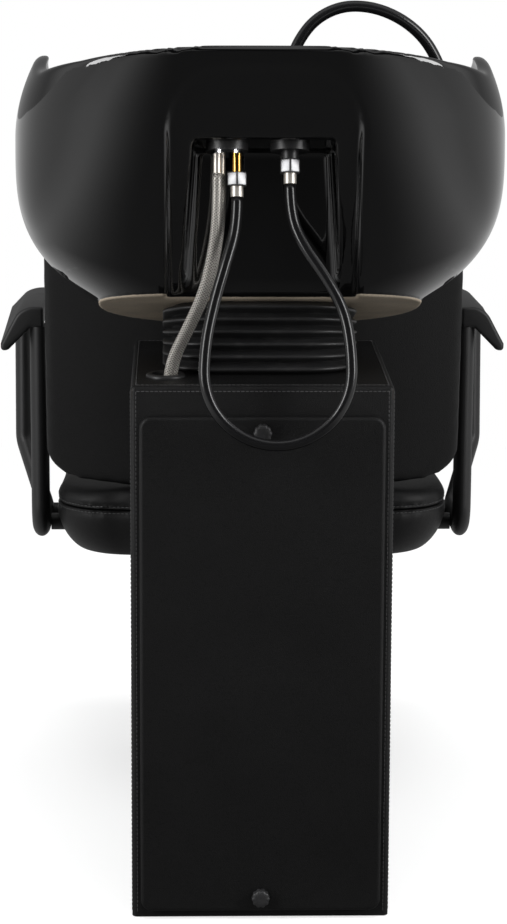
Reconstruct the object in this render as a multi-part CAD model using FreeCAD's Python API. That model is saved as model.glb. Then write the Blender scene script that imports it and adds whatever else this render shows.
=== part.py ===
import FreeCAD, Part
import math
import os
from FreeCAD import Placement, Rotation, Vector

# Backwash unit: a salon chair with a ceramic wash basin that tilts on a pedestal behind it.
# Millimetres. Origin on the floor, at the centre of the pedestal's anchor holes.
# +X is the seated client's right, +Y the way the client faces, +Z up.

# Pedestal casing
PEDESTAL_W = 300.0
PEDESTAL_D = 334.0
PEDESTAL_H = 635.0
BOARD_T = 15.0
EDGE_R = 5.0
OPENING_W = 216.0
OPENING_SILL = 62.0
OPENING_HEAD = 88.0

# Access panel and its thumb screws
PANEL_SIDE_MARGIN = 9.0
PANEL_FOOT_MARGIN = 10.0
PANEL_HEAD_MARGIN = 33.0
PANEL_T = 12.0
PANEL_CORNER_R = 14.0
PANEL_EDGE_R = 4.5
SCREW_INSET = 18.0
KNOB_R = 11.0
KNOB_H = 9.0
KNOB_FLUTES = 8
KNOB_FLUTE_R = 1.6
SCREW_R = 3.0
SCREW_REACH = 12.0
SCREW_CLEAR = 0.15
INSERT_R = 5.5
INSERT_FLANGE_R = 10.0
INSERT_FLANGE_T = 1.5

# Steel inside the pedestal
PLATE_T = 6.0
PLATE_CLEAR = 2.0
ANCHOR_X = 176.0
ANCHOR_Y = 206.0
ANCHOR_R = 6.0
FLOOR_OPENING = 150.0
SUPPLY_SLOT_R = 10.5
TUBE = 25.0
HINGE_RAIL_X = 62.0

# Hose grommet on the pedestal's top
GROMMET_X = -111.0
GROMMET_Y = -103.0
GROMMET_R = 23.0
GROMMET_BORE_R = 16.0
GROMMET_RIM = 5.0
GROMMET_NECK_WALL = 2.5

# Plinth and seat
PLINTH_D = 378.0
PLINTH_H = 308.0
SEAT_W = 510.0
SEAT_D = 480.0
SEAT_SETBACK = 66.0
SEAT_PAN_H = 67.0
SEAT_PAN_TAPER = 30.0
SEAT_LEAST_R = 20.0
SEAT_CUSHION_H = 40.0
SEAT_CORNER_R = 75.0
SEAT_REAR_BOW = 18.0
SEAT_FRONT_BOW = 14.0
SEAT_SIDE_DRAW = 4.0
SEAT_CROWN = 13.0
SEAT_EDGE_R = 14.0
SOFT_GAP = 0.3

# Backrest
BACK_W = 534.0
BACK_RISE = 132.0
BACK_DROP = 2.0
BACK_SETBACK = 86.0
BACK_LEAN = 8.0
BACK_SAGITTA = 30.0
BACK_BOARD_T = 16.0
BACK_PAD_T = 58.0
BACK_PAD_EDGE_T = 30.0
BACK_BOTTOM_R = 40.0
BACK_BOTTOM_BOW = 5.0
BACK_TOP_R = 45.0
BACK_PAD_INSET = 3.0
BACK_PAD_EDGE_R = 11.0
STRAP_X = 92.0
STRAP_W = 40.0
STRAP_T = 6.0
STRAP_RISE = 150.0
STRAP_CLEAR = 0.4
STRAP_BEND_RISE = 28.0

# Arms
ARM_STANDOFF = 22.0
ARM_X = SEAT_W / 2 + ARM_STANDOFF
ARM_SPLAY = 31.0
ARM_BAR_W = 24.0
ARM_BAR_D = 34.0
ARM_REAR = 148.0
ARM_LENGTH = 232.0
ARM_BOTTOM_Z = 361.0
ARM_ELBOW_Z = 440.0
ARM_ELBOW_BACK = 20.0
ARM_FOOT_LENGTH = 150.0
ARM_BEND_R = 34.0
PAD_BOTTOM_Z = 601.0
PAD_LENGTH = 282.0
PAD_OVERHANG = 0.0
PAD_CLEAR = 3.0
PAD_INNER_X = BACK_W / 2 + PAD_CLEAR
PAD_W = 56.0
PAD_OUTER_X = PAD_INNER_X + PAD_W
PAD_LIP_T = 9.0
PAD_TOP = 58.0
PAD_FLAT_W = 30.0
PAD_HOLLOW = 31.0
PAD_EDGE_R = 4.0
PAD_RISE = 2.5
LOOP_OVERRUN = 60.0
ARM_BOLT_R = 4.0
ARM_BOLT_HEAD_R = 7.0
ARM_BOLT_HEAD_H = 4.0
ARM_BOLT_REACH = 40.0
ARM_SPACER_R = 11.0
BOLT_CLEAR = 0.3

# Tilt hinge under the basin
HINGE_Y = 14.0
HINGE_RISE = 30.0
REST_TILT = 15.5
BRACKET_T = 5.0
EAR_T = 6.0
EAR_R = 14.0
LOWER_EAR_X = 73.0
EAR_GAP = 1.0
LOWER_PLATE_W = 168.0
LOWER_PLATE_D = 124.0
UPPER_PLATE_W = 156.0
UPPER_PLATE_D = 116.0
PIN_R = 6.0
BUSH_WALL = 2.0
PIN_RUN = 0.05
PIN_HEAD_R = 10.0
PIN_HEAD_H = 6.0
BOLT_R = 4.0
BOLT_HEAD_R = 6.5
BOLT_HEAD_H = 5.3
BRACKET_BOLT_X = 50.0
BRACKET_BOLT_Y = 44.0
BASE_BOLT_Y = 48.0
BASIN_BOLT_DEPTH = 22.0

# Bellows between the pedestal and the basin
BELLOWS_W = 232.0
BELLOWS_D = 224.0
BELLOWS_CORNER_R = 62.0
BELLOWS_PLEATS = 6
BELLOWS_PLEAT_DEPTH = 13.0
BELLOWS_WALL = 2.4
COLLAR_RING_W = 10.0
COLLAR_RING_T = 2.5

# Ceramic basin, in its own level frame with the hinge axis as origin
FOOT_Z = 30.0
FOOT_H = 4.0
FOOT_HALF_W = 190.0
BELLY_HALF_W = 287.0
BELLY_Z = 220.0
BASIN_MID_Y = -60.0
FOOT_REAR = 90.0
FOOT_FRONT = 190.0
RIM_REAR = 265.0
RIM_FRONT = 285.0
REAR_RIM_Z = 277.0
WING_Z = 313.0
FRONT_RIM_Z = 285.0
WING_START_Y = -222.0
WING_TOP_Y = -140.0
WING_END_Y = 40.0
LOFT_TOP_Z = 330.0
RIM_CURL = 40.0
BASIN_WALL = 15.0
BOWL_FLOOR_Z = 64.0
BOWL_FLOOR_HALF_W = 185.0
BOWL_FLOOR_REAR = 80.0
BOWL_FLOOR_FRONT = 158.0
NECK_R = 86.0
NECK_DIP_Z = 228.0
OUTLINE_POINTS = 32

# Service alcove and tap deck at the basin's rear
DECK_Z = 207.0
ALCOVE_HALF_TOP = 80.0
ALCOVE_HALF_FOOT = 92.0
ALCOVE_FRONT_TOP = -180.0
ALCOVE_FRONT_FOOT = -120.0
ALCOVE_CORNER_R = 12.0
ARCH_HALF_W = 108.0
ARCH_TOP_Z = 258.0
ARCH_CORNER_R = 62.0
ARCH_DEPTH = 34.0
BOSS_CORNER_R = 26.0
REACH = 500.0

# Neck rest
NECK_REST_T = 13.0
NECK_REST_REAR_Y = 152.0
NECK_REST_D = 52.0
NECK_REST_HALF_ANGLE = 52.0

# Taps, spray and hoses
FITTING_X = 30.0
MIXER_OFFSET = 11.0
FITTING_Y = -222.0
MIXER_R = 22.0
MIXER_H = 34.0
MIXER_CAP_H = 16.0
MIXER_SHANK_R = 19.0
LEVER_L = 84.0
LEVER_W = 15.0
LEVER_T = 8.0
LEVER_RISE = 8.0
LEVER_HEEL = 3.5
TURN_GAP = 0.4
NUT_RING_T = 8.0
NUT_RING_R = 24.0
BRASS_R = 5.5
BRASS_L = 36.0
HEX_NUT_AF = 22.0
HEX_NUT_H = 16.0
FERRULE_R = 7.2
FERRULE_H = 12.0
HOSE_R = 6.5
SPRAY_BODY_R = 15.0
SPRAY_BODY_H = 30.0
SPRAY_ELBOW_H = 9.0
SUPPLY_R = 5.6
SUPPLY_TAIL_R = 4.5
SUPPLY_TAIL_L = 22.0
SUPPLY_TAIL_X = 9.0
SUPPLY_PAIR_X = 2.5
SUPPLY_PAIR_Y = 5.6
SUPPLY_END_SPREAD = 17.0
SUPPLY_END_Y = -91.0
SUPPLY_NUT_AF = 24.0
SUPPLY_NUT_H = 15.0
SUPPLY_THREAD_R = 9.3
SUPPLY_THREAD_L = 11.0
SUPPLY_END_Z = 92.0
HANDSET_HEAD_X = 152.0
HANDSET_HEAD_Y = -46.0
HANDSET_HEAD_R = 30.0
HANDSET_HEAD_H = 24.0
HANDSET_FACE_T = 3.0
HANDSET_R = 12.5
HANDSET_TAIL_R = 10.5
HANDSET_TAIL_X = 196.0
HANDSET_TAIL_Y = -118.0
HANDSET_TAIL_Z = 170.0
HOSE_LEAD = 34.0
WASTE_SWING = 22.0

# Waste
DRAIN_Y = 30.0
DRAIN_R = 21.0
FLANGE_R = 36.0
FLANGE_T = 3.0
WASTE_TAIL_R = 20.0
WASTE_TAIL_WALL = 2.5
WASTE_TAIL_END_Z = -24.0
WASTE_NUT_R = 28.0
WASTE_LEAD = 90.0
WASTE_NUT_H = 9.0
WASTE_HOSE_R = 22.0
WASTE_OUTLET_H = 120.0
WASTE_OUTLET_Y = -36.0
WASTE_FLANGE_R = 40.0
STRAINER_R = 30.0
STRAINER_H = 12.0
STRAINER_STEM_R = 14.0
STRAINER_HOLES = 10
STRAINER_HOLE_R = 2.6

# Places that follow from the sizes above
FRONT_Y = PEDESTAL_D / 2
REAR_Y = -PEDESTAL_D / 2
HINGE_Z = PEDESTAL_H + HINGE_RISE
SEAT_Z = PLINTH_H + TUBE
SEAT_REAR_Y = FRONT_Y + SEAT_SETBACK
CUSHION_Z = SEAT_Z + SEAT_PAN_H
SEAT_TOP_Z = CUSHION_Z + SEAT_CUSHION_H
BACK_Z = SEAT_TOP_Z - BACK_DROP
BACK_H = PEDESTAL_H + BACK_RISE - BACK_Z
BASIN_PLACE = Placement(Vector(0, HINGE_Y, HINGE_Z), Rotation(Vector(1, 0, 0), -REST_TILT))
DECK_UNDER_Z = DECK_Z - BASIN_WALL
LOWER_EAR_OUT = LOWER_EAR_X + EAR_T
UPPER_EAR_X = LOWER_EAR_X - EAR_GAP - EAR_T
MOVE_GAP = 0.4

NODES = {}


def add(name, shape):
    """Keep a finished solid, or group of solids, under its node's name."""
    NODES[name] = shape


def box(x0, x1, y0, y1, z0, z1):
    """Box between two corners."""
    return Part.makeBox(x1 - x0, y1 - y0, z1 - z0, Vector(x0, y0, z0))


def rod(base, axis, radius, length):
    """Cylinder from a base point along an axis."""
    return Part.makeCylinder(radius, length, base, axis)


def tube_ring(base, axis, outer, inner, length):
    """Hollow cylinder."""
    return rod(base, axis, outer, length).cut(rod(base, axis, inner, length))


def mirror_x(shape):
    """Mirror image across the YZ plane."""
    return shape.mirror(Vector(0, 0, 0), Vector(1, 0, 0))


def tilted(shape):
    """Move a shape from the basin's level frame to its place at rest."""
    placed = shape.copy()
    placed.Placement = BASIN_PLACE.multiply(placed.Placement)
    return placed


def basin_point(x, y, z):
    """A point of the basin's level frame, at its place at rest."""
    return BASIN_PLACE.multVec(Vector(x, y, z))


def basin_direction(x, y, z):
    """A direction of the basin's level frame, at rest."""
    return BASIN_PLACE.Rotation.multVec(Vector(x, y, z))


def hexagon(base, axis, across_flats, height):
    """Hexagonal prism from a base point along an axis."""
    radius = across_flats / math.sqrt(3)
    turn = Rotation(Vector(0, 0, 1), axis)
    corners = []
    for k in range(7):
        angle = math.radians(60 * k)
        corner = Vector(radius * math.cos(angle), radius * math.sin(angle), 0)
        corners.append(base + turn.multVec(corner))
    direction = Vector(axis)
    direction.normalize()
    return Part.Face(Part.makePolygon(corners)).extrude(direction * height)


def bowed_outline(half_x, y0, y1, radius, rear_bow, front_bow, side_bow, z):
    """Rounded rectangle of eight arcs, whose sides bow outwards, or inwards if negative."""
    shift = radius * (1 - math.sqrt(0.5))
    mid_y = (y0 + y1) / 2
    x_in = half_x - radius
    points = [
        (Vector(-x_in, y0, z), Vector(0, y0 - rear_bow, z)),
        (Vector(x_in, y0, z), Vector(half_x - shift, y0 + shift, z)),
        (Vector(half_x, y0 + radius, z), Vector(half_x + side_bow, mid_y, z)),
        (Vector(half_x, y1 - radius, z), Vector(half_x - shift, y1 - shift, z)),
        (Vector(x_in, y1, z), Vector(0, y1 + front_bow, z)),
        (Vector(-x_in, y1, z), Vector(-half_x + shift, y1 - shift, z)),
        (Vector(-half_x, y1 - radius, z), Vector(-half_x - side_bow, mid_y, z)),
        (Vector(-half_x, y0 + radius, z), Vector(-half_x + shift, y0 + shift, z)),
    ]
    edges = []
    for k, (start, middle) in enumerate(points):
        end = points[(k + 1) % len(points)][0]
        edges.append(Part.Arc(start, middle, end).toShape())
    return Part.Wire(edges)


def rounded_wire(half_x, half_y, radius, centre, turn=0.0):
    """Rounded rectangle of lines and arcs about a centre, turned about X."""
    hx, hy = half_x - radius, half_y - radius
    diagonal = radius * math.sqrt(0.5)
    place = Placement(centre, Rotation(Vector(1, 0, 0), turn))
    edges = []
    corners = [(1, -1), (1, 1), (-1, 1), (-1, -1)]
    starts = [Vector(hx, -half_y, 0), Vector(half_x, hy, 0), Vector(-hx, half_y, 0), Vector(-half_x, -hy, 0)]
    ends = [Vector(half_x, -hy, 0), Vector(hx, half_y, 0), Vector(-half_x, hy, 0), Vector(-hx, -half_y, 0)]
    for k, (sx, sy) in enumerate(corners):
        middle = Vector(sx * (hx + diagonal), sy * (hy + diagonal), 0)
        start, end, following = [place.multVec(p) for p in (starts[k], ends[k], starts[(k + 1) % 4])]
        edges.append(Part.Arc(start, place.multVec(middle), end).toShape())
        edges.append(Part.LineSegment(end, following).toShape())
    return Part.Wire(edges)


def cord(name, points, radius):
    """Tube along straight runs joined by the largest tangent arcs that the runs allow."""
    edges = []
    radii = []
    start = points[0]
    for before, corner, after in zip(points, points[1:], points[2:]):
        arrive = (before - corner).normalize()
        leave = (after - corner).normalize()
        turn = math.pi - arrive.getAngle(leave)
        trim = 0.45 * min((before - corner).Length, (after - corner).Length)
        bend = trim / math.tan(turn / 2)
        bisector = (arrive + leave).normalize()
        middle = corner + bisector * (bend / math.cos(turn / 2) - bend)
        first, last = corner + arrive * trim, corner + leave * trim
        edges.append(Part.LineSegment(start, first).toShape())
        edges.append(Part.Arc(first, middle, last).toShape())
        start = last
        radii.append(round(bend))
    edges.append(Part.LineSegment(start, points[-1]).toShape())
    path = Part.Wire(edges)
    section = Part.Wire(Part.Circle(points[0], points[1] - points[0], radius).toShape())
    solid = path.makePipeShell([section], True, False)
    expected = math.pi * radius ** 2 * path.Length
    print(name, "length", round(path.Length), "radii", radii, "volume ratio", round(solid.Volume / expected, 4))
    return solid


def pedestal():
    """Casing boards, floor plate and welded frame of the pedestal."""
    half_w = PEDESTAL_W / 2
    inner_x = half_w - BOARD_T
    inner_y = FRONT_Y - BOARD_T
    side_top = PEDESTAL_H - BOARD_T
    side = box(inner_x, half_w, -inner_y, inner_y, 0, side_top)
    add("pedestal_right_board", side)
    add("pedestal_left_board", mirror_x(side))
    front = box(-half_w, half_w, inner_y, FRONT_Y, 0, side_top)
    add("pedestal_front_board", round_vertical(front, FRONT_Y))
    rear = round_vertical(box(-half_w, half_w, REAR_Y, -inner_y, 0, side_top), REAR_Y)
    half_o = OPENING_W / 2
    rear = rear.cut(box(-half_o, half_o, REAR_Y - 1, -inner_y + 1, OPENING_SILL, side_top - OPENING_HEAD))
    for z in screw_heights():
        rear = rear.cut(rod(Vector(0, REAR_Y - 1, z), Vector(0, 1, 0), INSERT_R, BOARD_T + 2))
    add("pedestal_rear_board", rear)
    top = box(-half_w, half_w, REAR_Y, FRONT_Y, side_top, PEDESTAL_H)
    rim = [e for e in top.Edges if e.BoundBox.ZMin > PEDESTAL_H - 0.1]
    top = top.makeFillet(EDGE_R, rim)
    top = top.cut(rod(Vector(GROMMET_X, GROMMET_Y, 0), Vector(0, 0, 1), grommet_hole_r(), PEDESTAL_H + 1))
    top = top.cut(rod(Vector(0, waste_hole_y(), 0), Vector(0, 0, 1), waste_hole_r(), PEDESTAL_H + 1))
    for x, y in base_bolt_places():
        top = top.cut(rod(Vector(x, y, 0), Vector(0, 0, 1), BOLT_R + BOLT_CLEAR, PEDESTAL_H + 1))
    add("pedestal_top_board", top)

    plate_x, plate_y = inner_x - PLATE_CLEAR, inner_y - PLATE_CLEAR
    plate = box(GROMMET_X + SUPPLY_SLOT_R, plate_x, -plate_y, plate_y, 0, PLATE_T)
    half_f = FLOOR_OPENING / 2
    plate = plate.cut(box(-half_f, half_f, -half_f, half_f, -1, PLATE_T + 1))
    for x in (-ANCHOR_X / 2, ANCHOR_X / 2):
        for y in (-ANCHOR_Y / 2, ANCHOR_Y / 2):
            plate = plate.cut(rod(Vector(x, y, -1), Vector(0, 0, 1), ANCHOR_R, PLATE_T + 2))
    plate = plate.fuse(rod(Vector(waste_x(), WASTE_OUTLET_Y, 0), Vector(0, 0, 1), WASTE_FLANGE_R, PLATE_T))
    plate = plate.cut(rod(Vector(waste_x(), WASTE_OUTLET_Y, -1), Vector(0, 0, 1), WASTE_TAIL_R, PLATE_T + 2))
    arm = box(-half_f - 1, half_f + 1, WASTE_OUTLET_Y - TUBE / 2, WASTE_OUTLET_Y + TUBE / 2, 0, PLATE_T)
    arm = arm.cut(rod(Vector(waste_x(), WASTE_OUTLET_Y, -1), Vector(0, 0, 1), WASTE_TAIL_R, PLATE_T + 2))
    frame_x, frame_y = plate_x - TUBE, plate_y - TUBE
    shoe = box(-plate_x, -frame_x, frame_y, plate_y, 0, PLATE_T)
    shoes = [shoe, shoe.mirror(Vector(), Vector(0, 1, 0))]
    add("floor_plate", Part.makeCompound([plate.fuse(arm).removeSplitter()] + shoes))

    frame_top = side_top
    frame = box(frame_x, plate_x, frame_y, plate_y, PLATE_T, frame_top)
    frame = frame.fuse(frame.mirror(Vector(), Vector(0, 1, 0)))
    frame = frame.fuse(mirror_x(frame))
    for z in (PLATE_T, frame_top - TUBE):
        rail = box(-plate_x, plate_x, frame_y, plate_y, z, z + TUBE)
        frame = frame.fuse([rail, rail.mirror(Vector(), Vector(0, 1, 0))])
    for x in (-HINGE_RAIL_X, HINGE_RAIL_X):
        rail = box(x - TUBE / 2, x + TUBE / 2, -frame_y, frame_y, frame_top - TUBE, frame_top)
        frame = frame.fuse(rail)
    for x, y in base_bolt_places():
        frame = frame.cut(rod(Vector(x, y, 0), Vector(0, 0, 1), BOLT_R + BOLT_CLEAR, PEDESTAL_H))
    add("pedestal_frame", frame.removeSplitter())

    axis = Vector(0, 0, 1)
    centre = Vector(GROMMET_X, GROMMET_Y, PEDESTAL_H)
    ring = tube_ring(centre, axis, GROMMET_R, GROMMET_BORE_R, GROMMET_RIM)
    rim = [e for e in ring.Edges if e.BoundBox.ZMin > PEDESTAL_H + 0.1 and e.Curve.Radius > GROMMET_BORE_R + 1]
    ring = ring.makeFillet(0.6 * GROMMET_RIM, rim)
    neck_base = centre - Vector(0, 0, BOARD_T)
    neck = tube_ring(neck_base, axis, GROMMET_BORE_R + GROMMET_NECK_WALL, GROMMET_BORE_R, BOARD_T)
    add("hose_grommet", ring.fuse(neck).removeSplitter())


def round_vertical(board, face_y):
    """Round the two outer upright edges of a board on one of its faces."""
    upright = [e for e in board.Edges if e.BoundBox.ZLength > 1 and abs(e.BoundBox.YMin - face_y) < 0.1]
    return board.makeFillet(EDGE_R, upright)


def screw_heights():
    """Heights of the two thumb screws."""
    top = PEDESTAL_H - PANEL_HEAD_MARGIN - SCREW_INSET
    return (PANEL_FOOT_MARGIN + SCREW_INSET, top)


def grommet_hole_r():
    """Radius of the hole that the grommet's neck fits."""
    return GROMMET_BORE_R + GROMMET_NECK_WALL + 0.2


def waste_x():
    """Sideways place of the waste, on the middle line."""
    return 0.0


def waste_hole_y():
    """Middle of the hole that the waste passes through in the pedestal's top."""
    return basin_point(0, DRAIN_Y, 0).y


def waste_hole_r():
    """Radius of that hole, which leaves room for the waste to swing."""
    return HINGE_RAIL_X - TUBE / 2 - 3.0


def base_bolt_places():
    """Places of the bolts that hold the lower bracket on the frame's hinge rails."""
    return [(x, HINGE_Y + y) for x in (-HINGE_RAIL_X, HINGE_RAIL_X) for y in (-BASE_BOLT_Y, BASE_BOLT_Y)]


def access_panel():
    """Wrapped access panel, its thumb screws and the inserts that they turn into."""
    half = PEDESTAL_W / 2 - PANEL_SIDE_MARGIN
    z0, z1 = PANEL_FOOT_MARGIN, PEDESTAL_H - PANEL_HEAD_MARGIN
    panel = box(-half, half, REAR_Y - PANEL_T, REAR_Y, z0, z1)
    upright = [e for e in panel.Edges if e.BoundBox.YLength > 1]
    panel = panel.makeFillet(PANEL_CORNER_R, upright)
    outer = [e for e in panel.Edges if e.BoundBox.YMax < REAR_Y - PANEL_T + 0.1]
    panel = panel.makeFillet(PANEL_EDGE_R, outer)
    inward = Vector(0, 1, 0)
    face_y = REAR_Y - PANEL_T
    inserts = []
    for name, z in zip(("lower_thumb_screw", "upper_thumb_screw"), screw_heights()):
        panel = panel.cut(rod(Vector(0, face_y - 1, z), inward, SCREW_R + PIN_RUN, PANEL_T + 2))
        head_base = Vector(0, face_y - KNOB_H, z)
        head = rod(head_base, inward, KNOB_R, KNOB_H)
        rim = [e for e in head.Edges if e.BoundBox.YMax < face_y - KNOB_H + 0.1]
        head = head.makeFillet(0.45 * KNOB_H, rim)
        for k in range(KNOB_FLUTES):
            angle = 2 * math.pi * k / KNOB_FLUTES
            spot = head_base + Vector(KNOB_R * math.cos(angle), -1, KNOB_R * math.sin(angle))
            head = head.cut(rod(spot, inward, KNOB_FLUTE_R, KNOB_H + 2))
        shank = rod(Vector(0, face_y - 1, z), inward, SCREW_R, 1 + PANEL_T + SCREW_REACH)
        add(name, head.fuse(shank))
        bore_r = SCREW_R + SCREW_CLEAR
        barrel = tube_ring(Vector(0, REAR_Y, z), inward, INSERT_R, bore_r, BOARD_T)
        flange = tube_ring(Vector(0, REAR_Y + BOARD_T, z), inward, INSERT_FLANGE_R, bore_r, INSERT_FLANGE_T)
        inserts.append(barrel.fuse(flange).removeSplitter())
    add("access_panel", panel)
    add("panel_inserts", Part.makeCompound(inserts))


def plinth_and_seat():
    """Plinth boards, seat frame, seat pan and cushion."""
    half_w = PEDESTAL_W / 2
    rear, front = FRONT_Y, FRONT_Y + PLINTH_D
    side = box(half_w - BOARD_T, half_w, rear, front - BOARD_T, 0, PLINTH_H)
    add("plinth_right_board", side)
    add("plinth_left_board", mirror_x(side))
    face = box(-half_w, half_w, front - BOARD_T, front, 0, PLINTH_H)
    add("plinth_front_board", round_vertical(face, front))

    rail_x = half_w - TUBE
    seat_front = SEAT_REAR_Y + SEAT_D
    rail = box(rail_x, half_w, rear, seat_front - SEAT_CORNER_R, PLINTH_H, SEAT_Z)
    frame = rail.fuse(mirror_x(rail))
    for y in (strap_rear_y(), front - TUBE):
        frame = frame.fuse(box(-half_w, half_w, y, y + TUBE, PLINTH_H, SEAT_Z))
    add("seat_frame", frame.removeSplitter())

    half = SEAT_W / 2
    levels = [(SEAT_Z, SEAT_PAN_TAPER), (SEAT_Z + 0.3 * SEAT_PAN_H, 0.42 * SEAT_PAN_TAPER),
              (SEAT_Z + 0.65 * SEAT_PAN_H, 0.1 * SEAT_PAN_TAPER), (CUSHION_Z, 0.0)]
    pan = seat_loft(half, levels)
    low = CUSHION_Z + SOFT_GAP
    levels = [(low, 0.0), (low + 0.5 * SEAT_CUSHION_H, SEAT_SIDE_DRAW), (low + SEAT_CUSHION_H, 0.0)]
    block = seat_loft(half, levels)
    crown_r = (half ** 2 + SEAT_CROWN ** 2) / (2 * SEAT_CROWN)
    middle_y = SEAT_REAR_Y + SEAT_D / 2
    cushion = block.common(Part.makeSphere(crown_r, Vector(0, middle_y, SEAT_TOP_Z - crown_r)))
    rim = [e for e in cushion.Edges if e.BoundBox.ZMin > low + 0.4 * SEAT_CUSHION_H]
    add("seat_cushion", cushion.makeFillet(SEAT_EDGE_R, rim))
    return pan


def seat_loft(half, levels):
    """Loft through the seat's outline at several heights, each drawn in by an inset."""
    wires = []
    for z, inset in levels:
        radius = max(SEAT_CORNER_R - 0.3 * inset, SEAT_LEAST_R)
        wires.append(bowed_outline(half - inset, SEAT_REAR_Y + SEAT_REAR_BOW + inset, SEAT_REAR_Y + SEAT_D - inset,
                                   radius, SEAT_REAR_BOW, SEAT_FRONT_BOW, -SEAT_SIDE_DRAW, z))
    return Part.makeLoft(wires, True, False)


def back_outline(inset):
    """Front view of the backrest as a face in the XZ plane, with rounded corners."""
    half = BACK_W / 2 - inset
    z0, z1 = inset, BACK_H - inset
    rb, rt = BACK_BOTTOM_R - inset, BACK_TOP_R - inset
    kb, kt = rb * (1 - math.sqrt(0.5)), rt * (1 - math.sqrt(0.5))
    def p(x, z):
        return Vector(x, 0, z)
    edges = [
        Part.Arc(p(-half + rb, z0), p(0, z0 - BACK_BOTTOM_BOW), p(half - rb, z0)),
        Part.Arc(p(half - rb, z0), p(half - kb, z0 + kb), p(half, z0 + rb)),
        Part.LineSegment(p(half, z0 + rb), p(half, z1 - rt)),
        Part.Arc(p(half, z1 - rt), p(half - kt, z1 - kt), p(half - rt, z1)),
        Part.LineSegment(p(half - rt, z1), p(-half + rt, z1)),
        Part.Arc(p(-half + rt, z1), p(-half + kt, z1 - kt), p(-half, z1 - rt)),
        Part.LineSegment(p(-half, z1 - rt), p(-half, z0 + rb)),
        Part.Arc(p(-half, z0 + rb), p(-half + kb, z0 + kb), p(-half + rb, z0)),
    ]
    return Part.Face(Part.Wire([e.toShape() for e in edges]))


def back_cylinder(rear_y, edge_y):
    """Upright cylinder whose rearmost line is at rear_y, and whose surface is at edge_y at the backrest's edge."""
    rise = edge_y - rear_y
    half = BACK_W / 2
    radius = (half ** 2 + rise ** 2) / (2 * rise)
    return Part.makeCylinder(radius, 3 * BACK_H, Vector(0, rear_y + radius, -BACK_H))


def backrest(pan):
    """Curved back board, its cushion and the two straps that carry it on the seat frame."""
    lean = Placement(Vector(0, FRONT_Y + BACK_SETBACK, BACK_Z), Rotation(Vector(1, 0, 0), BACK_LEAN))
    deep = BACK_SAGITTA + BACK_BOARD_T + BACK_PAD_T
    shell = back_outline(0).extrude(Vector(0, deep, 0))
    board = shell.common(back_cylinder(0, BACK_SAGITTA))
    board = board.cut(back_cylinder(BACK_BOARD_T, BACK_SAGITTA + BACK_BOARD_T))
    block = back_outline(BACK_PAD_INSET).extrude(Vector(0, deep, 0))
    seat_y = BACK_BOARD_T + SOFT_GAP
    pad = block.common(back_cylinder(seat_y, BACK_SAGITTA + seat_y))
    front_middle = BACK_BOARD_T + BACK_PAD_T
    front_edge = BACK_SAGITTA + BACK_BOARD_T + BACK_PAD_EDGE_T
    pad = pad.cut(crown_cutter(front_middle, front_edge, deep))
    rim = [e for e in pad.Edges if on_crown(e, front_middle, front_edge)]
    pad = pad.makeFillet(BACK_PAD_EDGE_R, rim)
    for shape, name in ((board, "back_board"), (pad, "back_cushion")):
        shape.Placement = lean.multiply(shape.Placement)
        add(name, shape)

    straps = []
    for x in (-STRAP_X, STRAP_X):
        straps.append(back_strap(x, lean))
    add("seat_pan", pan)
    add("back_straps", Part.makeCompound(straps))


def strap_rear_y():
    """Front face of a back strap where it stands behind the seat."""
    return SEAT_REAR_Y - 1.0


def back_strap(x, lean):
    """Flat bar that stands behind the seat and bends forward to lie on the back board."""
    half = BACK_W / 2
    radius = (half ** 2 + BACK_SAGITTA ** 2) / (2 * BACK_SAGITTA)
    inner_x = STRAP_X - STRAP_W / 2
    hollow = radius - math.sqrt(radius ** 2 - inner_x ** 2) - STRAP_CLEAR
    low = lean.multVec(Vector(0, hollow, STRAP_BEND_RISE))
    high = lean.multVec(Vector(0, hollow, STRAP_RISE))
    face_y = strap_rear_y()
    front = [(face_y, PLINTH_H), (face_y, SEAT_TOP_Z), (low.y, low.z), (high.y, high.z)]
    rear = [(y - STRAP_T, z) for y, z in reversed(front)]
    outline = [Vector(x - STRAP_W / 2, y, z) for y, z in front + rear]
    return Part.Face(Part.makePolygon(outline + outline[:1])).extrude(Vector(STRAP_W, 0, 0))


def crown_cutter(middle_y, edge_y, deep):
    """Block in front of the cushion's crowned face."""
    rise = middle_y - edge_y
    half = BACK_W / 2
    radius = (half ** 2 + rise ** 2) / (2 * abs(rise))
    block = box(-BACK_W, BACK_W, -deep, 4 * deep, -BACK_H, 2 * BACK_H)
    crown = Part.makeCylinder(radius, 4 * BACK_H, Vector(0, middle_y - radius, -2 * BACK_H))
    if rise < 0:
        crown = Part.makeCylinder(radius, 4 * BACK_H, Vector(0, middle_y + radius, -2 * BACK_H))
        return crown
    return block.cut(crown)


def on_crown(edge, middle_y, edge_y):
    """Whether an edge of the cushion lies on its front face."""
    return edge.BoundBox.YMin > min(middle_y, edge_y) - 1.0


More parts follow.
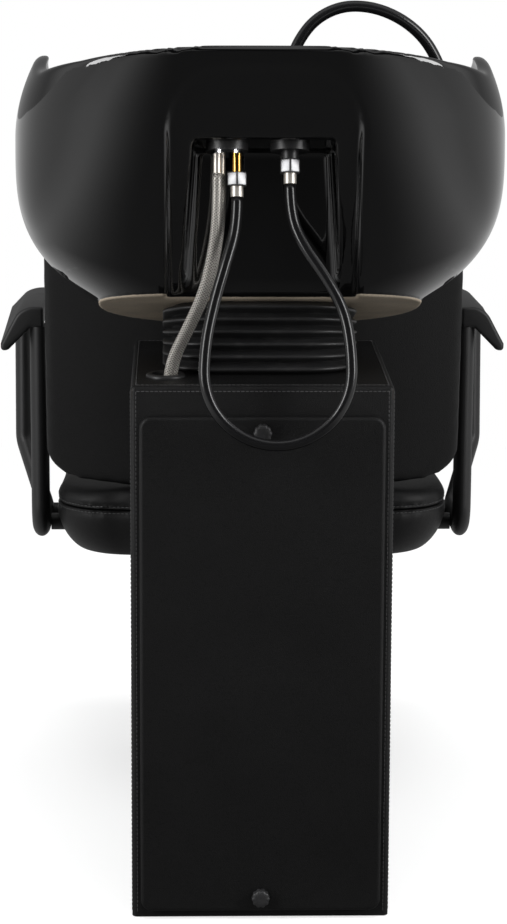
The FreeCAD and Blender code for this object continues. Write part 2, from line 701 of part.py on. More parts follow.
def arms(pan):
    """Loop-shaped arms with pads, bolted to the sides of the seat pan."""
    rear_y = FRONT_Y + ARM_REAR
    front_y = rear_y + ARM_LENGTH
    top_z = PAD_BOTTOM_Z + LOOP_OVERRUN
    route = [
        Vector(ARM_X, rear_y, top_z),
        Vector(ARM_X, rear_y + ARM_BAR_D / 4, ARM_BOTTOM_Z),
        Vector(ARM_X, rear_y + ARM_FOOT_LENGTH, ARM_BOTTOM_Z),
        Vector(ARM_X + ARM_SPLAY, front_y - ARM_ELBOW_BACK, ARM_ELBOW_Z),
        Vector(ARM_X + ARM_SPLAY, front_y, top_z),
    ]
    loop = bar_along(route)
    pad_y0 = rear_y - PAD_OVERHANG - ARM_BAR_D / 2
    pad = arm_pad_block(pad_y0)
    loop = loop.cut(above_pad(pad_y0)).cut(pad)
    bolts, spacers, holes = [], [], []
    inward = Vector(-1, 0, 0)
    for y in (rear_y + 0.33 * ARM_FOOT_LENGTH, rear_y + 0.78 * ARM_FOOT_LENGTH):
        outer_x = ARM_X + ARM_BAR_W / 2
        inner_x = ARM_X - ARM_BAR_W / 2
        centre = Vector(outer_x, y, ARM_BOTTOM_Z)
        reach = ARM_BAR_W + inner_x - SEAT_W / 2 + SEAT_PAN_TAPER + ARM_BOLT_REACH
        hole = rod(centre + Vector(1, 0, 0), inward, ARM_BOLT_R + BOLT_CLEAR, reach + 1)
        sunk = rod(centre + Vector(1, 0, 0), inward, ARM_BOLT_HEAD_R + BOLT_CLEAR, ARM_BOLT_HEAD_H + 1)
        bolt = rod(centre, inward, ARM_BOLT_R, reach).fuse(rod(centre, inward, ARM_BOLT_HEAD_R, ARM_BOLT_HEAD_H))
        spacer = rod(Vector(inner_x, y, ARM_BOTTOM_Z), inward, ARM_SPACER_R, inner_x - SEAT_W / 2 + SEAT_PAN_TAPER)
        spacers.append(spacer.cut(pan).cut(loop).cut(hole))
        loop = loop.cut(hole).cut(sunk)
        bolts.append(bolt)
        holes.append(hole)
    for side, name in ((loop, "arm_loop"), (pad, "arm_pad")):
        add(name + "_right", side)
        add(name + "_left", mirror_x(side))
    for hole in holes:
        pan = pan.cut([hole, mirror_x(hole)])
    add("seat_pan", pan)
    add("arm_bolts", Part.makeCompound(bolts + [mirror_x(b) for b in bolts]))
    add("arm_spacers", Part.makeCompound(spacers + [mirror_x(s) for s in spacers]))


def bar_along(route):
    """Flat oval bar swept along straight runs joined by arcs of the arm's bend radius."""
    edges = []
    start = route[0]
    for before, corner, after in zip(route, route[1:], route[2:]):
        arrive = (before - corner).normalize()
        leave = (after - corner).normalize()
        half_turn = (math.pi - arrive.getAngle(leave)) / 2
        trim = ARM_BEND_R * math.tan(half_turn)
        bisector = (arrive + leave).normalize()
        middle = corner + bisector * (ARM_BEND_R / math.cos(half_turn) - ARM_BEND_R)
        first, last = corner + arrive * trim, corner + leave * trim
        edges.append(Part.LineSegment(start, first).toShape())
        edges.append(Part.Arc(first, middle, last).toShape())
        start = last
    edges.append(Part.LineSegment(start, route[-1]).toShape())
    path = Part.Wire(edges)
    oval = Part.Ellipse(route[0], ARM_BAR_D / 2, ARM_BAR_W / 2).toShape()
    oval.rotate(route[0], Vector(0, 0, 1), 90)
    sweep = Part.BRepOffsetAPI.MakePipeShell(path)
    sweep.setBiNormalMode(Vector(1, 0, 0))
    sweep.add(Part.Wire(oval), False, True)
    sweep.build()
    sweep.makeSolid()
    return sweep.shape()


def pad_place(y0):
    """Place of an arm pad's underside, which rises slightly to the front."""
    return Placement(Vector(0, y0, PAD_BOTTOM_Z), Rotation(Vector(1, 0, 0), PAD_RISE))


def pad_underside():
    """Line of an arm pad's hollow underside, from its inner side to its outer lip."""
    return [Vector(PAD_INNER_X, 0, PAD_HOLLOW), Vector(PAD_INNER_X + 0.3 * PAD_W, 0, PAD_HOLLOW),
            Vector(PAD_OUTER_X - PAD_LIP_T, 0, 0)]


def arm_pad_block(y0):
    """Arm pad: a slanting hood with a flat top, a falling outer side and a thin outer lip."""
    under = pad_underside()
    lip = [Vector(PAD_OUTER_X, 0, 0), Vector(PAD_OUTER_X, 0, PAD_LIP_T)]
    top = [Vector(PAD_INNER_X + PAD_FLAT_W, 0, PAD_TOP), Vector(PAD_INNER_X, 0, PAD_TOP)]
    face = Part.Face(Part.makePolygon(under + lip + top + under[:1]))
    pad = face.extrude(Vector(0, PAD_LENGTH, 0))
    soft = [e for e in pad.Edges if e.BoundBox.YLength > 0.9 * PAD_LENGTH and e.BoundBox.ZMin > PAD_LIP_T - 0.1
            and e.BoundBox.XMin > PAD_INNER_X + 0.5 * PAD_FLAT_W]
    pad = pad.makeFillet(PAD_EDGE_R, soft)
    pad.Placement = pad_place(y0).multiply(pad.Placement)
    return pad


def above_pad(y0):
    """Room above the line of a pad's underside, which trims the loop's ends."""
    under = pad_underside()
    far = 4 * PAD_TOP
    outline = under + [Vector(2 * PAD_OUTER_X, 0, 0), Vector(2 * PAD_OUTER_X, 0, far), Vector(0, 0, far),
                       Vector(0, 0, PAD_HOLLOW), under[0]]
    room = Part.Face(Part.makePolygon(outline)).extrude(Vector(0, 4 * PAD_LENGTH, 0))
    room.translate(Vector(0, -PAD_LENGTH, 0))
    room.Placement = pad_place(y0).multiply(room.Placement)
    return room


def growth(t, power):
    """Swelling of the basin's side from foot to belly, steep at first."""
    return (1 - (1 - t) ** power) ** (1 / power)


def flare(t):
    """Widening of the basin's underside from the foot, conical at first and upright at the belly."""
    return (1 - (1 - t) ** 3.5) ** 1.1


def outer_section(z):
    """Half-width, rear reach and front reach of the basin's outside at a height."""
    base = FOOT_Z + FOOT_H
    t = min(max((z - base) / (BELLY_Z - base), 0.0), 1.0)
    half = FOOT_HALF_W + (BELLY_HALF_W - FOOT_HALF_W) * flare(t)
    if z > BELLY_Z:
        half -= RIM_CURL * ((z - BELLY_Z) / (LOFT_TOP_Z - BELLY_Z)) ** 2
    rear_t = (z - FOOT_Z) / (REAR_RIM_Z - FOOT_Z)
    front_t = (z - FOOT_Z) / (FRONT_RIM_Z - FOOT_Z)
    rear = FOOT_REAR + (RIM_REAR - FOOT_REAR) * rear_t ** 0.9
    front = FOOT_FRONT + (RIM_FRONT - FOOT_FRONT) * front_t ** 2
    return half, rear, front


def inner_section(z):
    """Half-width, rear reach and front reach of the bowl's inside at a height."""
    t = min((z - BOWL_FLOOR_Z) / (BELLY_Z - BOWL_FLOOR_Z), 1.0)
    half, rear, front = [size - BASIN_WALL for size in outer_section(z)]
    if z < BELLY_Z:
        half = BOWL_FLOOR_HALF_W + (BELLY_HALF_W - BASIN_WALL - BOWL_FLOOR_HALF_W) * growth(t, 2.4)
    floor_rear, floor_front = BOWL_FLOOR_REAR, BOWL_FLOOR_FRONT
    base_rear, base_front = [size - BASIN_WALL for size in outer_section(BOWL_FLOOR_Z)[1:]]
    fade = (1 - t) ** 4
    return half, rear - (base_rear - floor_rear) * fade, front - (base_front - floor_front) * fade


def basin_outline(section, z):
    """Closed smooth outline at a height: squarer at the rear, rounder at the front."""
    half, rear, front = section
    points = []
    for k in range(OUTLINE_POINTS):
        angle = 2 * math.pi * k / OUTLINE_POINTS
        c, s = math.cos(angle), math.sin(angle)
        power = 2 / 2.25 if s > 0 else 2 / 2.9
        reach = front if s > 0 else rear
        x = half * math.copysign(abs(c) ** power, c)
        y = reach * math.copysign(abs(s) ** power, s)
        points.append(Vector(x, BASIN_MID_Y + y, z))
    curve = Part.BSplineCurve()
    curve.interpolate(points, PeriodicFlag=True)
    return Part.Wire(curve.toShape())


def basin_loft(section, heights):
    """Smooth solid through the basin's outlines at several heights."""
    return Part.makeLoft([basin_outline(section(z), z) for z in heights], True, False)


def rim_cutter():
    """Everything above the rim: level at the rear, stepped up to the wings, falling to the front."""
    def p(y, z):
        return Vector(-REACH, y, z)
    run, rise = WING_TOP_Y - WING_START_Y, WING_Z - REAR_RIM_Z
    radius = (run ** 2 + rise ** 2) / (4 * rise)
    quarter = math.asin(run / 2 / radius) / 2
    dy, dz = radius * math.sin(quarter), radius * (1 - math.cos(quarter))
    middle = p((WING_START_Y + WING_TOP_Y) / 2, (REAR_RIM_Z + WING_Z) / 2)
    edges = [
        Part.LineSegment(p(-REACH, REAR_RIM_Z), p(WING_START_Y, REAR_RIM_Z)),
        Part.Arc(p(WING_START_Y, REAR_RIM_Z), p(WING_START_Y + dy, REAR_RIM_Z + dz), middle),
        Part.Arc(middle, p(WING_TOP_Y - dy, WING_Z - dz), p(WING_TOP_Y, WING_Z)),
        Part.LineSegment(p(WING_TOP_Y, WING_Z), p(WING_END_Y, WING_Z)),
        Part.LineSegment(p(WING_END_Y, WING_Z), p(REACH, front_fall())),
        Part.LineSegment(p(REACH, front_fall()), p(REACH, REACH)),
        Part.LineSegment(p(REACH, REACH), p(-REACH, REACH)),
        Part.LineSegment(p(-REACH, REACH), p(-REACH, REAR_RIM_Z)),
    ]
    face = Part.Face(Part.Wire([e.toShape() for e in edges]))
    return face.extrude(Vector(2 * REACH, 0, 0))


def front_fall():
    """Height of the falling rim line far in front of the basin."""
    front_y = BASIN_MID_Y + RIM_FRONT
    slope = (WING_Z - FRONT_RIM_Z) / (front_y - WING_END_Y)
    return WING_Z - slope * (REACH - WING_END_Y)


def rear_block(half_top, half_foot, front_top, front_foot, top_z, radius):
    """Block at the basin's rear that widens downwards, with rounded front corners."""
    wires = []
    bottom_z = FOOT_Z - FOOT_H
    slope = (front_foot - front_top) / (top_z - FOOT_Z)
    spread = (half_foot - half_top) / (top_z - FOOT_Z)
    for z in (bottom_z, top_z):
        front = front_top + slope * (top_z - z)
        half = half_top + spread * (top_z - z)
        wires.append(rounded_wire(half, (front + REACH) / 2, radius, Vector(0, (front - REACH) / 2, z)))
    return Part.makeLoft(wires, True, True)


def arch_recess():
    """Arch-topped recess round the alcove, deepest at the foot."""
    half = ARCH_HALF_W
    k = ARCH_CORNER_R * (1 - math.sqrt(0.5))
    low = FOOT_Z - FOOT_H
    def p(x, z):
        return Vector(x, -REACH, z)
    shoulder = ARCH_TOP_Z - ARCH_CORNER_R
    edges = [
        Part.LineSegment(p(-half, low), p(half, low)),
        Part.LineSegment(p(half, low), p(half, shoulder)),
        Part.Arc(p(half, shoulder), p(half - k, ARCH_TOP_Z - k), p(half - ARCH_CORNER_R, ARCH_TOP_Z)),
        Part.LineSegment(p(half - ARCH_CORNER_R, ARCH_TOP_Z), p(-half + ARCH_CORNER_R, ARCH_TOP_Z)),
        Part.Arc(p(-half + ARCH_CORNER_R, ARCH_TOP_Z), p(-half + k, ARCH_TOP_Z - k), p(-half, shoulder)),
        Part.LineSegment(p(-half, shoulder), p(-half, low)),
    ]
    prism = Part.Face(Part.Wire([e.toShape() for e in edges])).extrude(Vector(0, REACH, 0))
    top_y = BASIN_MID_Y - outer_section(ARCH_TOP_Z)[1]
    foot_y = BASIN_MID_Y - FOOT_REAR + ARCH_DEPTH
    slope = (foot_y - top_y) / (ARCH_TOP_Z - FOOT_Z)
    side = [Vector(-REACH, -REACH, 0), Vector(-REACH, top_y + slope * ARCH_TOP_Z, 0),
            Vector(-REACH, top_y - slope * (REACH - ARCH_TOP_Z), REACH), Vector(-REACH, -REACH, REACH)]
    behind = Part.Face(Part.makePolygon(side + side[:1])).extrude(Vector(2 * REACH, 0, 0))
    return prism.common(behind)


def basin():
    """Ceramic basin with its bowl, neck dip, tap deck, service alcove and holes."""
    base = FOOT_Z + FOOT_H
    foot = Part.makeLoft([basin_outline((FOOT_HALF_W, FOOT_REAR, FOOT_FRONT), FOOT_Z),
                          basin_outline(outer_section(base), base)], True, True)
    swell = [0.0, 0.02, 0.07, 0.18, 0.38, 0.66, 1.0]
    heights = [base + t * (BELLY_Z - base) for t in swell]
    heights += [BELLY_Z + t * (LOFT_TOP_Z - BELLY_Z) for t in (0.35, 0.7, 1.0)]
    outside = basin_loft(outer_section, heights).fuse(foot)
    drop = [0.0, 0.03, 0.1, 0.25, 0.5, 0.75, 1.0]
    heights = [BOWL_FLOOR_Z + t * (BELLY_Z - BOWL_FLOOR_Z) for t in drop]
    heights += [BELLY_Z + t * (LOFT_TOP_Z + 10 - BELLY_Z) for t in (0.35, 0.7, 1.0)]
    inside = basin_loft(inner_section, heights)
    boss = rear_block(ARCH_HALF_W + BASIN_WALL, ARCH_HALF_W + BASIN_WALL, ALCOVE_FRONT_TOP + BASIN_WALL,
                      ALCOVE_FRONT_FOOT + BASIN_WALL, DECK_Z, BOSS_CORNER_R)
    alcove = rear_block(ALCOVE_HALF_TOP, ALCOVE_HALF_FOOT, ALCOVE_FRONT_TOP, ALCOVE_FRONT_FOOT,
                        DECK_UNDER_Z, ALCOVE_CORNER_R)
    bowl = outside.cut(inside.cut(boss))
    bowl = bowl.cut(rim_cutter())
    dip_y = BASIN_MID_Y + FOOT_FRONT / 2
    bowl = bowl.cut(rod(Vector(0, dip_y, NECK_DIP_Z + NECK_R), Vector(0, 1, 0), NECK_R, REACH))
    bowl = bowl.cut(alcove).cut(arch_recess())
    up = Vector(0, 0, 1)
    bowl = bowl.cut(rod(Vector(0, DRAIN_Y, 0), up, DRAIN_R, BELLY_Z))
    bowl = bowl.cut(rod(Vector(0, DRAIN_Y, BOWL_FLOOR_Z - FLANGE_T), up, FLANGE_R + SOFT_GAP, BELLY_Z))
    for x, radius in ((mixer_x(), MIXER_SHANK_R), (FITTING_X, BRASS_R + SUPPLY_TAIL_R)):
        bowl = bowl.cut(rod(Vector(x, FITTING_Y, DECK_UNDER_Z - 1), up, radius + BOLT_CLEAR, BASIN_WALL + 2))
    for x, y in bracket_bolt_places():
        bowl = bowl.cut(rod(Vector(x, y, FOOT_Z - 1), up, BOLT_R + BOLT_CLEAR, BASIN_BOLT_DEPTH + 2))
    add("basin", tilted(bowl))

    inner, outer = NECK_R - NECK_REST_T, NECK_R - SOFT_GAP
    centre_z = NECK_DIP_Z + NECK_R
    start = Vector(0, NECK_REST_REAR_Y, centre_z)
    ring = tube_ring(start, Vector(0, 1, 0), outer, inner, NECK_REST_D)
    reach = outer * math.sin(math.radians(NECK_REST_HALF_ANGLE))
    low = centre_z - outer * math.cos(math.radians(NECK_REST_HALF_ANGLE))
    pad = ring.common(box(-reach, reach, 0, REACH, NECK_DIP_Z, low))
    rim = [e for e in pad.Edges if e.BoundBox.YLength < 0.1 and e.Curve.TypeId == "Part::GeomCircle"
           and abs(e.Curve.Radius - inner) < 0.1]
    add("neck_rest", tilted(pad.makeFillet(0.4 * NECK_REST_T, rim)))


def bracket_bolt_places():
    """Places of the bolts that hold the upper bracket under the basin's foot."""
    return [(x, y) for x in (-BRACKET_BOLT_X, BRACKET_BOLT_X) for y in (-BRACKET_BOLT_Y, BRACKET_BOLT_Y)]


def ear(x0, plate_z, half_width):
    """Hinge ear: rounded about the hinge axis and running to a plate."""
    side = Vector(1, 0, 0)
    low, high = min(plate_z, 0), max(plate_z, 0)
    return rod(Vector(x0, 0, 0), side, half_width, EAR_T).fuse(
        box(x0, x0 + EAR_T, -half_width, half_width, low, high))


def hinge():
    """Brackets, pins and bushes of the tilt hinge."""
    up, side = Vector(0, 0, 1), Vector(1, 0, 0)
    plate_z = -HINGE_RISE + BRACKET_T
    lower = box(-LOWER_PLATE_W / 2, LOWER_PLATE_W / 2, -LOWER_PLATE_D / 2, LOWER_PLATE_D / 2, -HINGE_RISE, plate_z)
    lower_ear = ear(LOWER_EAR_X, plate_z, EAR_R)
    lower = lower.fuse([lower_ear, mirror_x(lower_ear)])
    lower = lower.cut(rod(Vector(0, waste_hole_y() - HINGE_Y, -HINGE_RISE - 1), up, waste_hole_r(), BRACKET_T + 2))
    lower = lower.cut(rod(Vector(-LOWER_EAR_OUT - 1, 0, 0), side, PIN_R, 2 * LOWER_EAR_OUT + 2))
    for x, y in base_bolt_places():
        lower = lower.cut(rod(Vector(x, y - HINGE_Y, -HINGE_RISE - 1), up, BOLT_R + BOLT_CLEAR, BRACKET_T + 2))
    level = Placement(Vector(0, HINGE_Y, HINGE_Z), Rotation())
    lower = lower.removeSplitter()
    lower.Placement = level
    add("lower_bracket", lower)

    under_z = FOOT_Z - BRACKET_T
    upper = box(-UPPER_PLATE_W / 2, UPPER_PLATE_W / 2, -UPPER_PLATE_D / 2, UPPER_PLATE_D / 2, under_z, FOOT_Z)
    upper_ear = ear(UPPER_EAR_X, under_z, EAR_R)
    upper = upper.fuse([upper_ear, mirror_x(upper_ear)])
    upper = upper.cut(rod(Vector(0, DRAIN_Y, 0), up, WASTE_NUT_R + 2, REACH))
    upper = upper.cut(rod(Vector(-LOWER_EAR_OUT, 0, 0), side, PIN_R + BUSH_WALL, 2 * LOWER_EAR_OUT))
    for x, y in bracket_bolt_places():
        upper = upper.cut(rod(Vector(x, y, under_z - 1), up, BOLT_R + BOLT_CLEAR, BRACKET_T + 2))
    add("upper_bracket", tilted(upper.removeSplitter()))
    bush = tube_ring(Vector(UPPER_EAR_X, 0, 0), side, PIN_R + BUSH_WALL, PIN_R + PIN_RUN, EAR_T)
    add("hinge_bushes", tilted(Part.makeCompound([bush, mirror_x(bush)])))

    shank = rod(Vector(UPPER_EAR_X - EAR_GAP, 0, 0), side, PIN_R, LOWER_EAR_OUT - UPPER_EAR_X + EAR_GAP)
    head = hexagon(Vector(LOWER_EAR_OUT, 0, 0), side, 2 * PIN_HEAD_R, PIN_HEAD_H)
    pin = shank.fuse(head)
    pins = Part.makeCompound([pin, mirror_x(pin)])
    pins.Placement = level
    add("hinge_pins", pins)

    bolts = []
    for x, y in base_bolt_places():
        seat = Vector(x, y, PEDESTAL_H + BRACKET_T)
        bolt = hexagon(seat, up, 2 * BOLT_HEAD_R, BOLT_HEAD_H)
        bolts.append(bolt.fuse(rod(seat, -up, BOLT_R, BRACKET_T + BOARD_T + TUBE)))
    add("base_bolts", Part.makeCompound(bolts))
    bolts = []
    for x, y in bracket_bolt_places():
        seat = Vector(x, y, under_z)
        bolt = hexagon(seat, -up, 2 * BOLT_HEAD_R, BOLT_HEAD_H)
        bolts.append(bolt.fuse(rod(seat, up, BOLT_R, BRACKET_T + BASIN_BOLT_DEPTH)))
    add("bracket_bolts", tilted(Part.makeCompound(bolts)))


def bellows():
    """Pleated rubber bellows whose rings fan out from the pedestal's top to the tilted foot."""
    low_z = PEDESTAL_H + SOFT_GAP
    foot = basin_point(0, 0, FOOT_Z - SOFT_GAP)
    slope = math.tan(math.radians(REST_TILT))
    fan_y = foot.y + (foot.z - low_z) / slope
    fan = Vector(0, fan_y, low_z)

    def ring(share, inset):
        half_x, half_y = BELLOWS_W / 2 - inset, BELLOWS_D / 2 - inset
        turn = -REST_TILT * share
        centre = fan + Rotation(Vector(1, 0, 0), turn).multVec(Vector(0, HINGE_Y - fan_y, 0))
        return rounded_wire(half_x, half_y, BELLOWS_CORNER_R - inset, centre, turn)

    steps = [(0.0, BELLOWS_PLEAT_DEPTH)]
    count = 2 * BELLOWS_PLEATS
    for k in range(1, count):
        steps.append((k / count, 0.0 if k % 2 else BELLOWS_PLEAT_DEPTH))
    steps.append((1.0, BELLOWS_PLEAT_DEPTH))
    outside = Part.makeLoft([ring(s, d) for s, d in steps], True, True)
    inside = Part.makeLoft([ring(s, d + BELLOWS_WALL) for s, d in steps], True, True)
    add("rubber_bellows", outside.cut(inside))

    inset = BELLOWS_PLEAT_DEPTH + BELLOWS_WALL + 2 * SOFT_GAP
    half_x, half_y = BELLOWS_W / 2 - inset, BELLOWS_D / 2 - inset
    radius = BELLOWS_CORNER_R - inset
    outer = Part.Face(rounded_wire(half_x, half_y, radius, Vector()))
    inner = Part.Face(rounded_wire(half_x - COLLAR_RING_W, half_y - COLLAR_RING_W, radius - COLLAR_RING_W, Vector()))
    ring_plate = outer.cut(inner).extrude(Vector(0, 0, COLLAR_RING_T))
    lower = ring_plate.copy()
    lower.Placement = Placement(Vector(0, HINGE_Y, PEDESTAL_H), Rotation())
    add("bellows_base_ring", lower)
    upper = ring_plate.copy()
    middle = BASIN_PLACE.inverse().multVec(
        fan + Rotation(Vector(1, 0, 0), -REST_TILT).multVec(Vector(0, HINGE_Y - fan_y, 0)))
    upper.Placement = Placement(Vector(0, middle.y, FOOT_Z - COLLAR_RING_T), Rotation())
    add("bellows_top_ring", tilted(upper))


def waste():
    """Waste flange, strainer, nut, hose and the outlet on the floor plate."""
    up = Vector(0, 0, 1)
    at = Vector(0, DRAIN_Y, 0)
    seat_z = BOWL_FLOOR_Z - FLANGE_T
    bore = WASTE_TAIL_R - WASTE_TAIL_WALL
    flange = rod(at + up * seat_z, up, FLANGE_R, FLANGE_T)
    tail = rod(at + up * WASTE_TAIL_END_Z, up, WASTE_TAIL_R, seat_z - WASTE_TAIL_END_Z)
    flange = flange.fuse(tail).cut(rod(at + up * (WASTE_TAIL_END_Z - 1), up, bore, REACH)).removeSplitter()
    add("waste_flange", tilted(flange))
    nut = hexagon(at + up * (FOOT_Z - WASTE_NUT_H), up, 1.7 * WASTE_NUT_R, WASTE_NUT_H)
    add("waste_nut", tilted(nut.cut(rod(at, up, WASTE_TAIL_R, BELLY_Z))))

    lift = BOWL_FLOOR_Z + MOVE_GAP
    profile = [Vector(0, 0, lift), Vector(STRAINER_R, 0, lift), Vector(STRAINER_R, 0, lift + 2),
               Vector(STRAINER_R - 8, 0, lift + STRAINER_H - 3), Vector(8, 0, lift + STRAINER_H),
               Vector(0, 0, lift + STRAINER_H), Vector(0, 0, lift)]
    dome = Part.Face(Part.makePolygon(profile)).revolve(Vector(), up, 360)
    dome = dome.cut(rod(Vector(0, 0, lift - 1), up, STRAINER_STEM_R + 6, STRAINER_H - 3))
    for k in range(STRAINER_HOLES):
        angle = 2 * math.pi * k / STRAINER_HOLES
        spot = Vector(0.55 * STRAINER_R * math.cos(angle), 0.55 * STRAINER_R * math.sin(angle), lift - 1)
        dome = dome.cut(rod(spot, up, STRAINER_HOLE_R, STRAINER_H + 2))
    stem = tube_ring(Vector(0, 0, lift - 2 * STRAINER_H), up, STRAINER_STEM_R, STRAINER_STEM_R - 2, 3 * STRAINER_H - 2)
    stem = stem.cut(rod(Vector(0, 0, lift - REACH), up, STRAINER_R, REACH - STRAINER_H))
    strainer = dome.fuse(stem).removeSplitter()
    strainer.translate(at)
    add("hair_strainer", tilted(strainer))

    outlet_at = Vector(waste_x(), WASTE_OUTLET_Y, 0)
    spigot = tube_ring(outlet_at, up, WASTE_TAIL_R - 0.2, bore, WASTE_OUTLET_H)
    collar = tube_ring(outlet_at + up * PLATE_T, up, WASTE_FLANGE_R - 4, WASTE_TAIL_R - 0.2, WASTE_TAIL_WALL)
    add("waste_outlet", spigot.fuse(collar).removeSplitter())
    top = basin_point(0, DRAIN_Y, WASTE_TAIL_END_Z)
    drop = WASTE_OUTLET_Y + WASTE_SWING
    route = [top, basin_point(0, DRAIN_Y, WASTE_TAIL_END_Z - WASTE_LEAD), Vector(0, drop, 0.66 * PEDESTAL_H),
             Vector(0, drop - 0.73 * WASTE_SWING, 0.457 * PEDESTAL_H),
             Vector(0, WASTE_OUTLET_Y, 0.315 * PEDESTAL_H), outlet_at + up * WASTE_OUTLET_H]
    add("waste_hose", cord("waste_hose", route, WASTE_HOSE_R))


def handset_tail():
    """Tail end of the handset, in the basin's level frame."""
    return Vector(HANDSET_TAIL_X, HANDSET_TAIL_Y, HANDSET_TAIL_Z)


def mixer():
    """Mixer on the deck, its lever, its brass outlet and the spray outlet beside it."""
    up = Vector(0, 0, 1)
    at = Vector(mixer_x(), FITTING_Y, 0)
    brass_at = Vector(-FITTING_X, FITTING_Y, 0)
    body = rod(at + up * DECK_Z, up, MIXER_R, MIXER_H)
    rim = [e for e in body.Edges if e.BoundBox.ZMin > DECK_Z + 1 and e.BoundBox.ZLength < 0.1]
    body = body.makeFillet(2.0, rim)
    foot = Part.makeCone(MIXER_R + 4, MIXER_R, 6, at + up * DECK_Z, up)
    shank_end = DECK_UNDER_Z - NUT_RING_T - 4
    shank = rod(at + up * shank_end, up, MIXER_SHANK_R, DECK_Z - shank_end)
    add("mixer_body", tilted(body.fuse([foot, shank]).removeSplitter()))
    nut = tube_ring(at + up * (DECK_UNDER_Z - NUT_RING_T), up, NUT_RING_R, MIXER_SHANK_R, NUT_RING_T)
    back_nuts = [nut]

    cap_z = DECK_Z + MIXER_H + TURN_GAP
    cap = rod(at + up * cap_z, up, MIXER_R - 1, MIXER_CAP_H)
    rim = [e for e in cap.Edges if e.BoundBox.ZMin > cap_z + 1 and e.BoundBox.ZLength < 0.1]
    cap = cap.makeFillet(0.6 * MIXER_CAP_H, rim)
    slot_z = cap_z + 0.35 * MIXER_CAP_H
    slot = box(at.x - LEVER_W / 2 - TURN_GAP, at.x + LEVER_W / 2 + TURN_GAP, at.y - 0.2 * MIXER_R - LEVER_HEEL,
               at.y + 2 * MIXER_R, slot_z, slot_z + REACH)
    add("mixer_cap", tilted(cap.cut(slot)))
    lever_z = slot_z + TURN_GAP
    y0 = at.y - 0.2 * MIXER_R + TURN_GAP
    half_w = LEVER_W / 2
    side = [Vector(at.x - half_w, y0, lever_z), Vector(at.x - half_w, at.y + LEVER_L, lever_z + LEVER_RISE),
            Vector(at.x - half_w, at.y + LEVER_L, lever_z + LEVER_RISE + 0.6 * LEVER_T),
            Vector(at.x - half_w, y0, lever_z + LEVER_T)]
    lever = Part.Face(Part.makePolygon(side + side[:1])).extrude(Vector(LEVER_W, 0, 0))
    tip = [e for e in lever.Edges if e.BoundBox.XLength < 0.1 and e.BoundBox.YLength < 0.1
           and e.BoundBox.YMin > at.y + LEVER_L - 1]
    add("mixer_lever", tilted(lever.makeFillet(0.45 * LEVER_W, tip)))

    brass_top = shank_end
    brass = rod(brass_at + up * (brass_top - BRASS_L + HEX_NUT_H), up, BRASS_R, BRASS_L - HEX_NUT_H)
    add("mixer_outlet_tube", tilted(brass))

    spot = Vector(FITTING_X, FITTING_Y, 0)
    spray = rod(spot + up * DECK_Z, up, SPRAY_BODY_R, SPRAY_BODY_H)
    rim = [e for e in spray.Edges if e.BoundBox.ZMin > DECK_Z + 1 and e.BoundBox.ZLength < 0.1]
    spray = spray.makeFillet(4.0, rim)
    neck_r = BRASS_R + SUPPLY_TAIL_R
    neck_end = DECK_UNDER_Z - NUT_RING_T - SPRAY_ELBOW_H
    neck = rod(spot + up * neck_end, up, neck_r, DECK_Z - neck_end)
    add("spray_outlet", tilted(spray.fuse(neck).removeSplitter()))
    nut = tube_ring(spot + up * (DECK_UNDER_Z - NUT_RING_T), up, NUT_RING_R - 2, neck_r, NUT_RING_T)
    back_nuts.append(nut)
    add("deck_backnuts", tilted(Part.makeCompound(back_nuts)))

    left_z = brass_top - BRASS_L + HEX_NUT_H
    nuts = [hexagon(brass_at + up * (left_z - HEX_NUT_H), up, HEX_NUT_AF, HEX_NUT_H),
            hexagon(spot + up * (neck_end - HEX_NUT_H), up, HEX_NUT_AF, HEX_NUT_H)]
    hose_nuts = nuts
    ferrules = [rod(brass_at + up * (left_z - HEX_NUT_H - FERRULE_H), up, FERRULE_R, FERRULE_H),
                rod(spot + up * (neck_end - HEX_NUT_H - FERRULE_H), up, FERRULE_R, FERRULE_H)]
    add("link_hose_ferrules", tilted(Part.makeCompound(ferrules)))
    start_z, end_z = left_z - HEX_NUT_H - FERRULE_H, neck_end - HEX_NUT_H - FERRULE_H
    lead = 34.0
    route = [basin_point(brass_at.x, brass_at.y, start_z), basin_point(brass_at.x, brass_at.y, start_z - lead)]
    route += [Vector(x, y, z) for x, y, z in LINK_ROUTE]
    route += [basin_point(spot.x, spot.y, end_z - lead), basin_point(spot.x, spot.y, end_z)]
    add("link_hose", cord("link_hose", route, HOSE_R))

    top_z = DECK_Z + SPRAY_BODY_H
    spray_nut = hexagon(spot + up * top_z, up, HEX_NUT_AF, HEX_NUT_H)
    tail, forward = handset(up)
    tail_nut = hexagon(tail, -forward, HEX_NUT_AF - 3, HEX_NUT_H)
    add("hose_nuts", tilted(Part.makeCompound(hose_nuts + [spray_nut])))
    add("handset_nut", tilted(tail_nut))
    end = tail - forward * HEX_NUT_H
    lead = 28.0
    route = [basin_point(spot.x, spot.y, top_z + HEX_NUT_H), basin_point(spot.x, spot.y, top_z + HEX_NUT_H + lead)]
    route += [Vector(x, y, z) for x, y, z in SPRAY_ROUTE]
    lead_in = end - forward * lead
    route += [basin_point(lead_in.x, lead_in.y, lead_in.z), basin_point(end.x, end.y, end.z)]
    add("spray_hose", cord("spray_hose", route, HOSE_R))

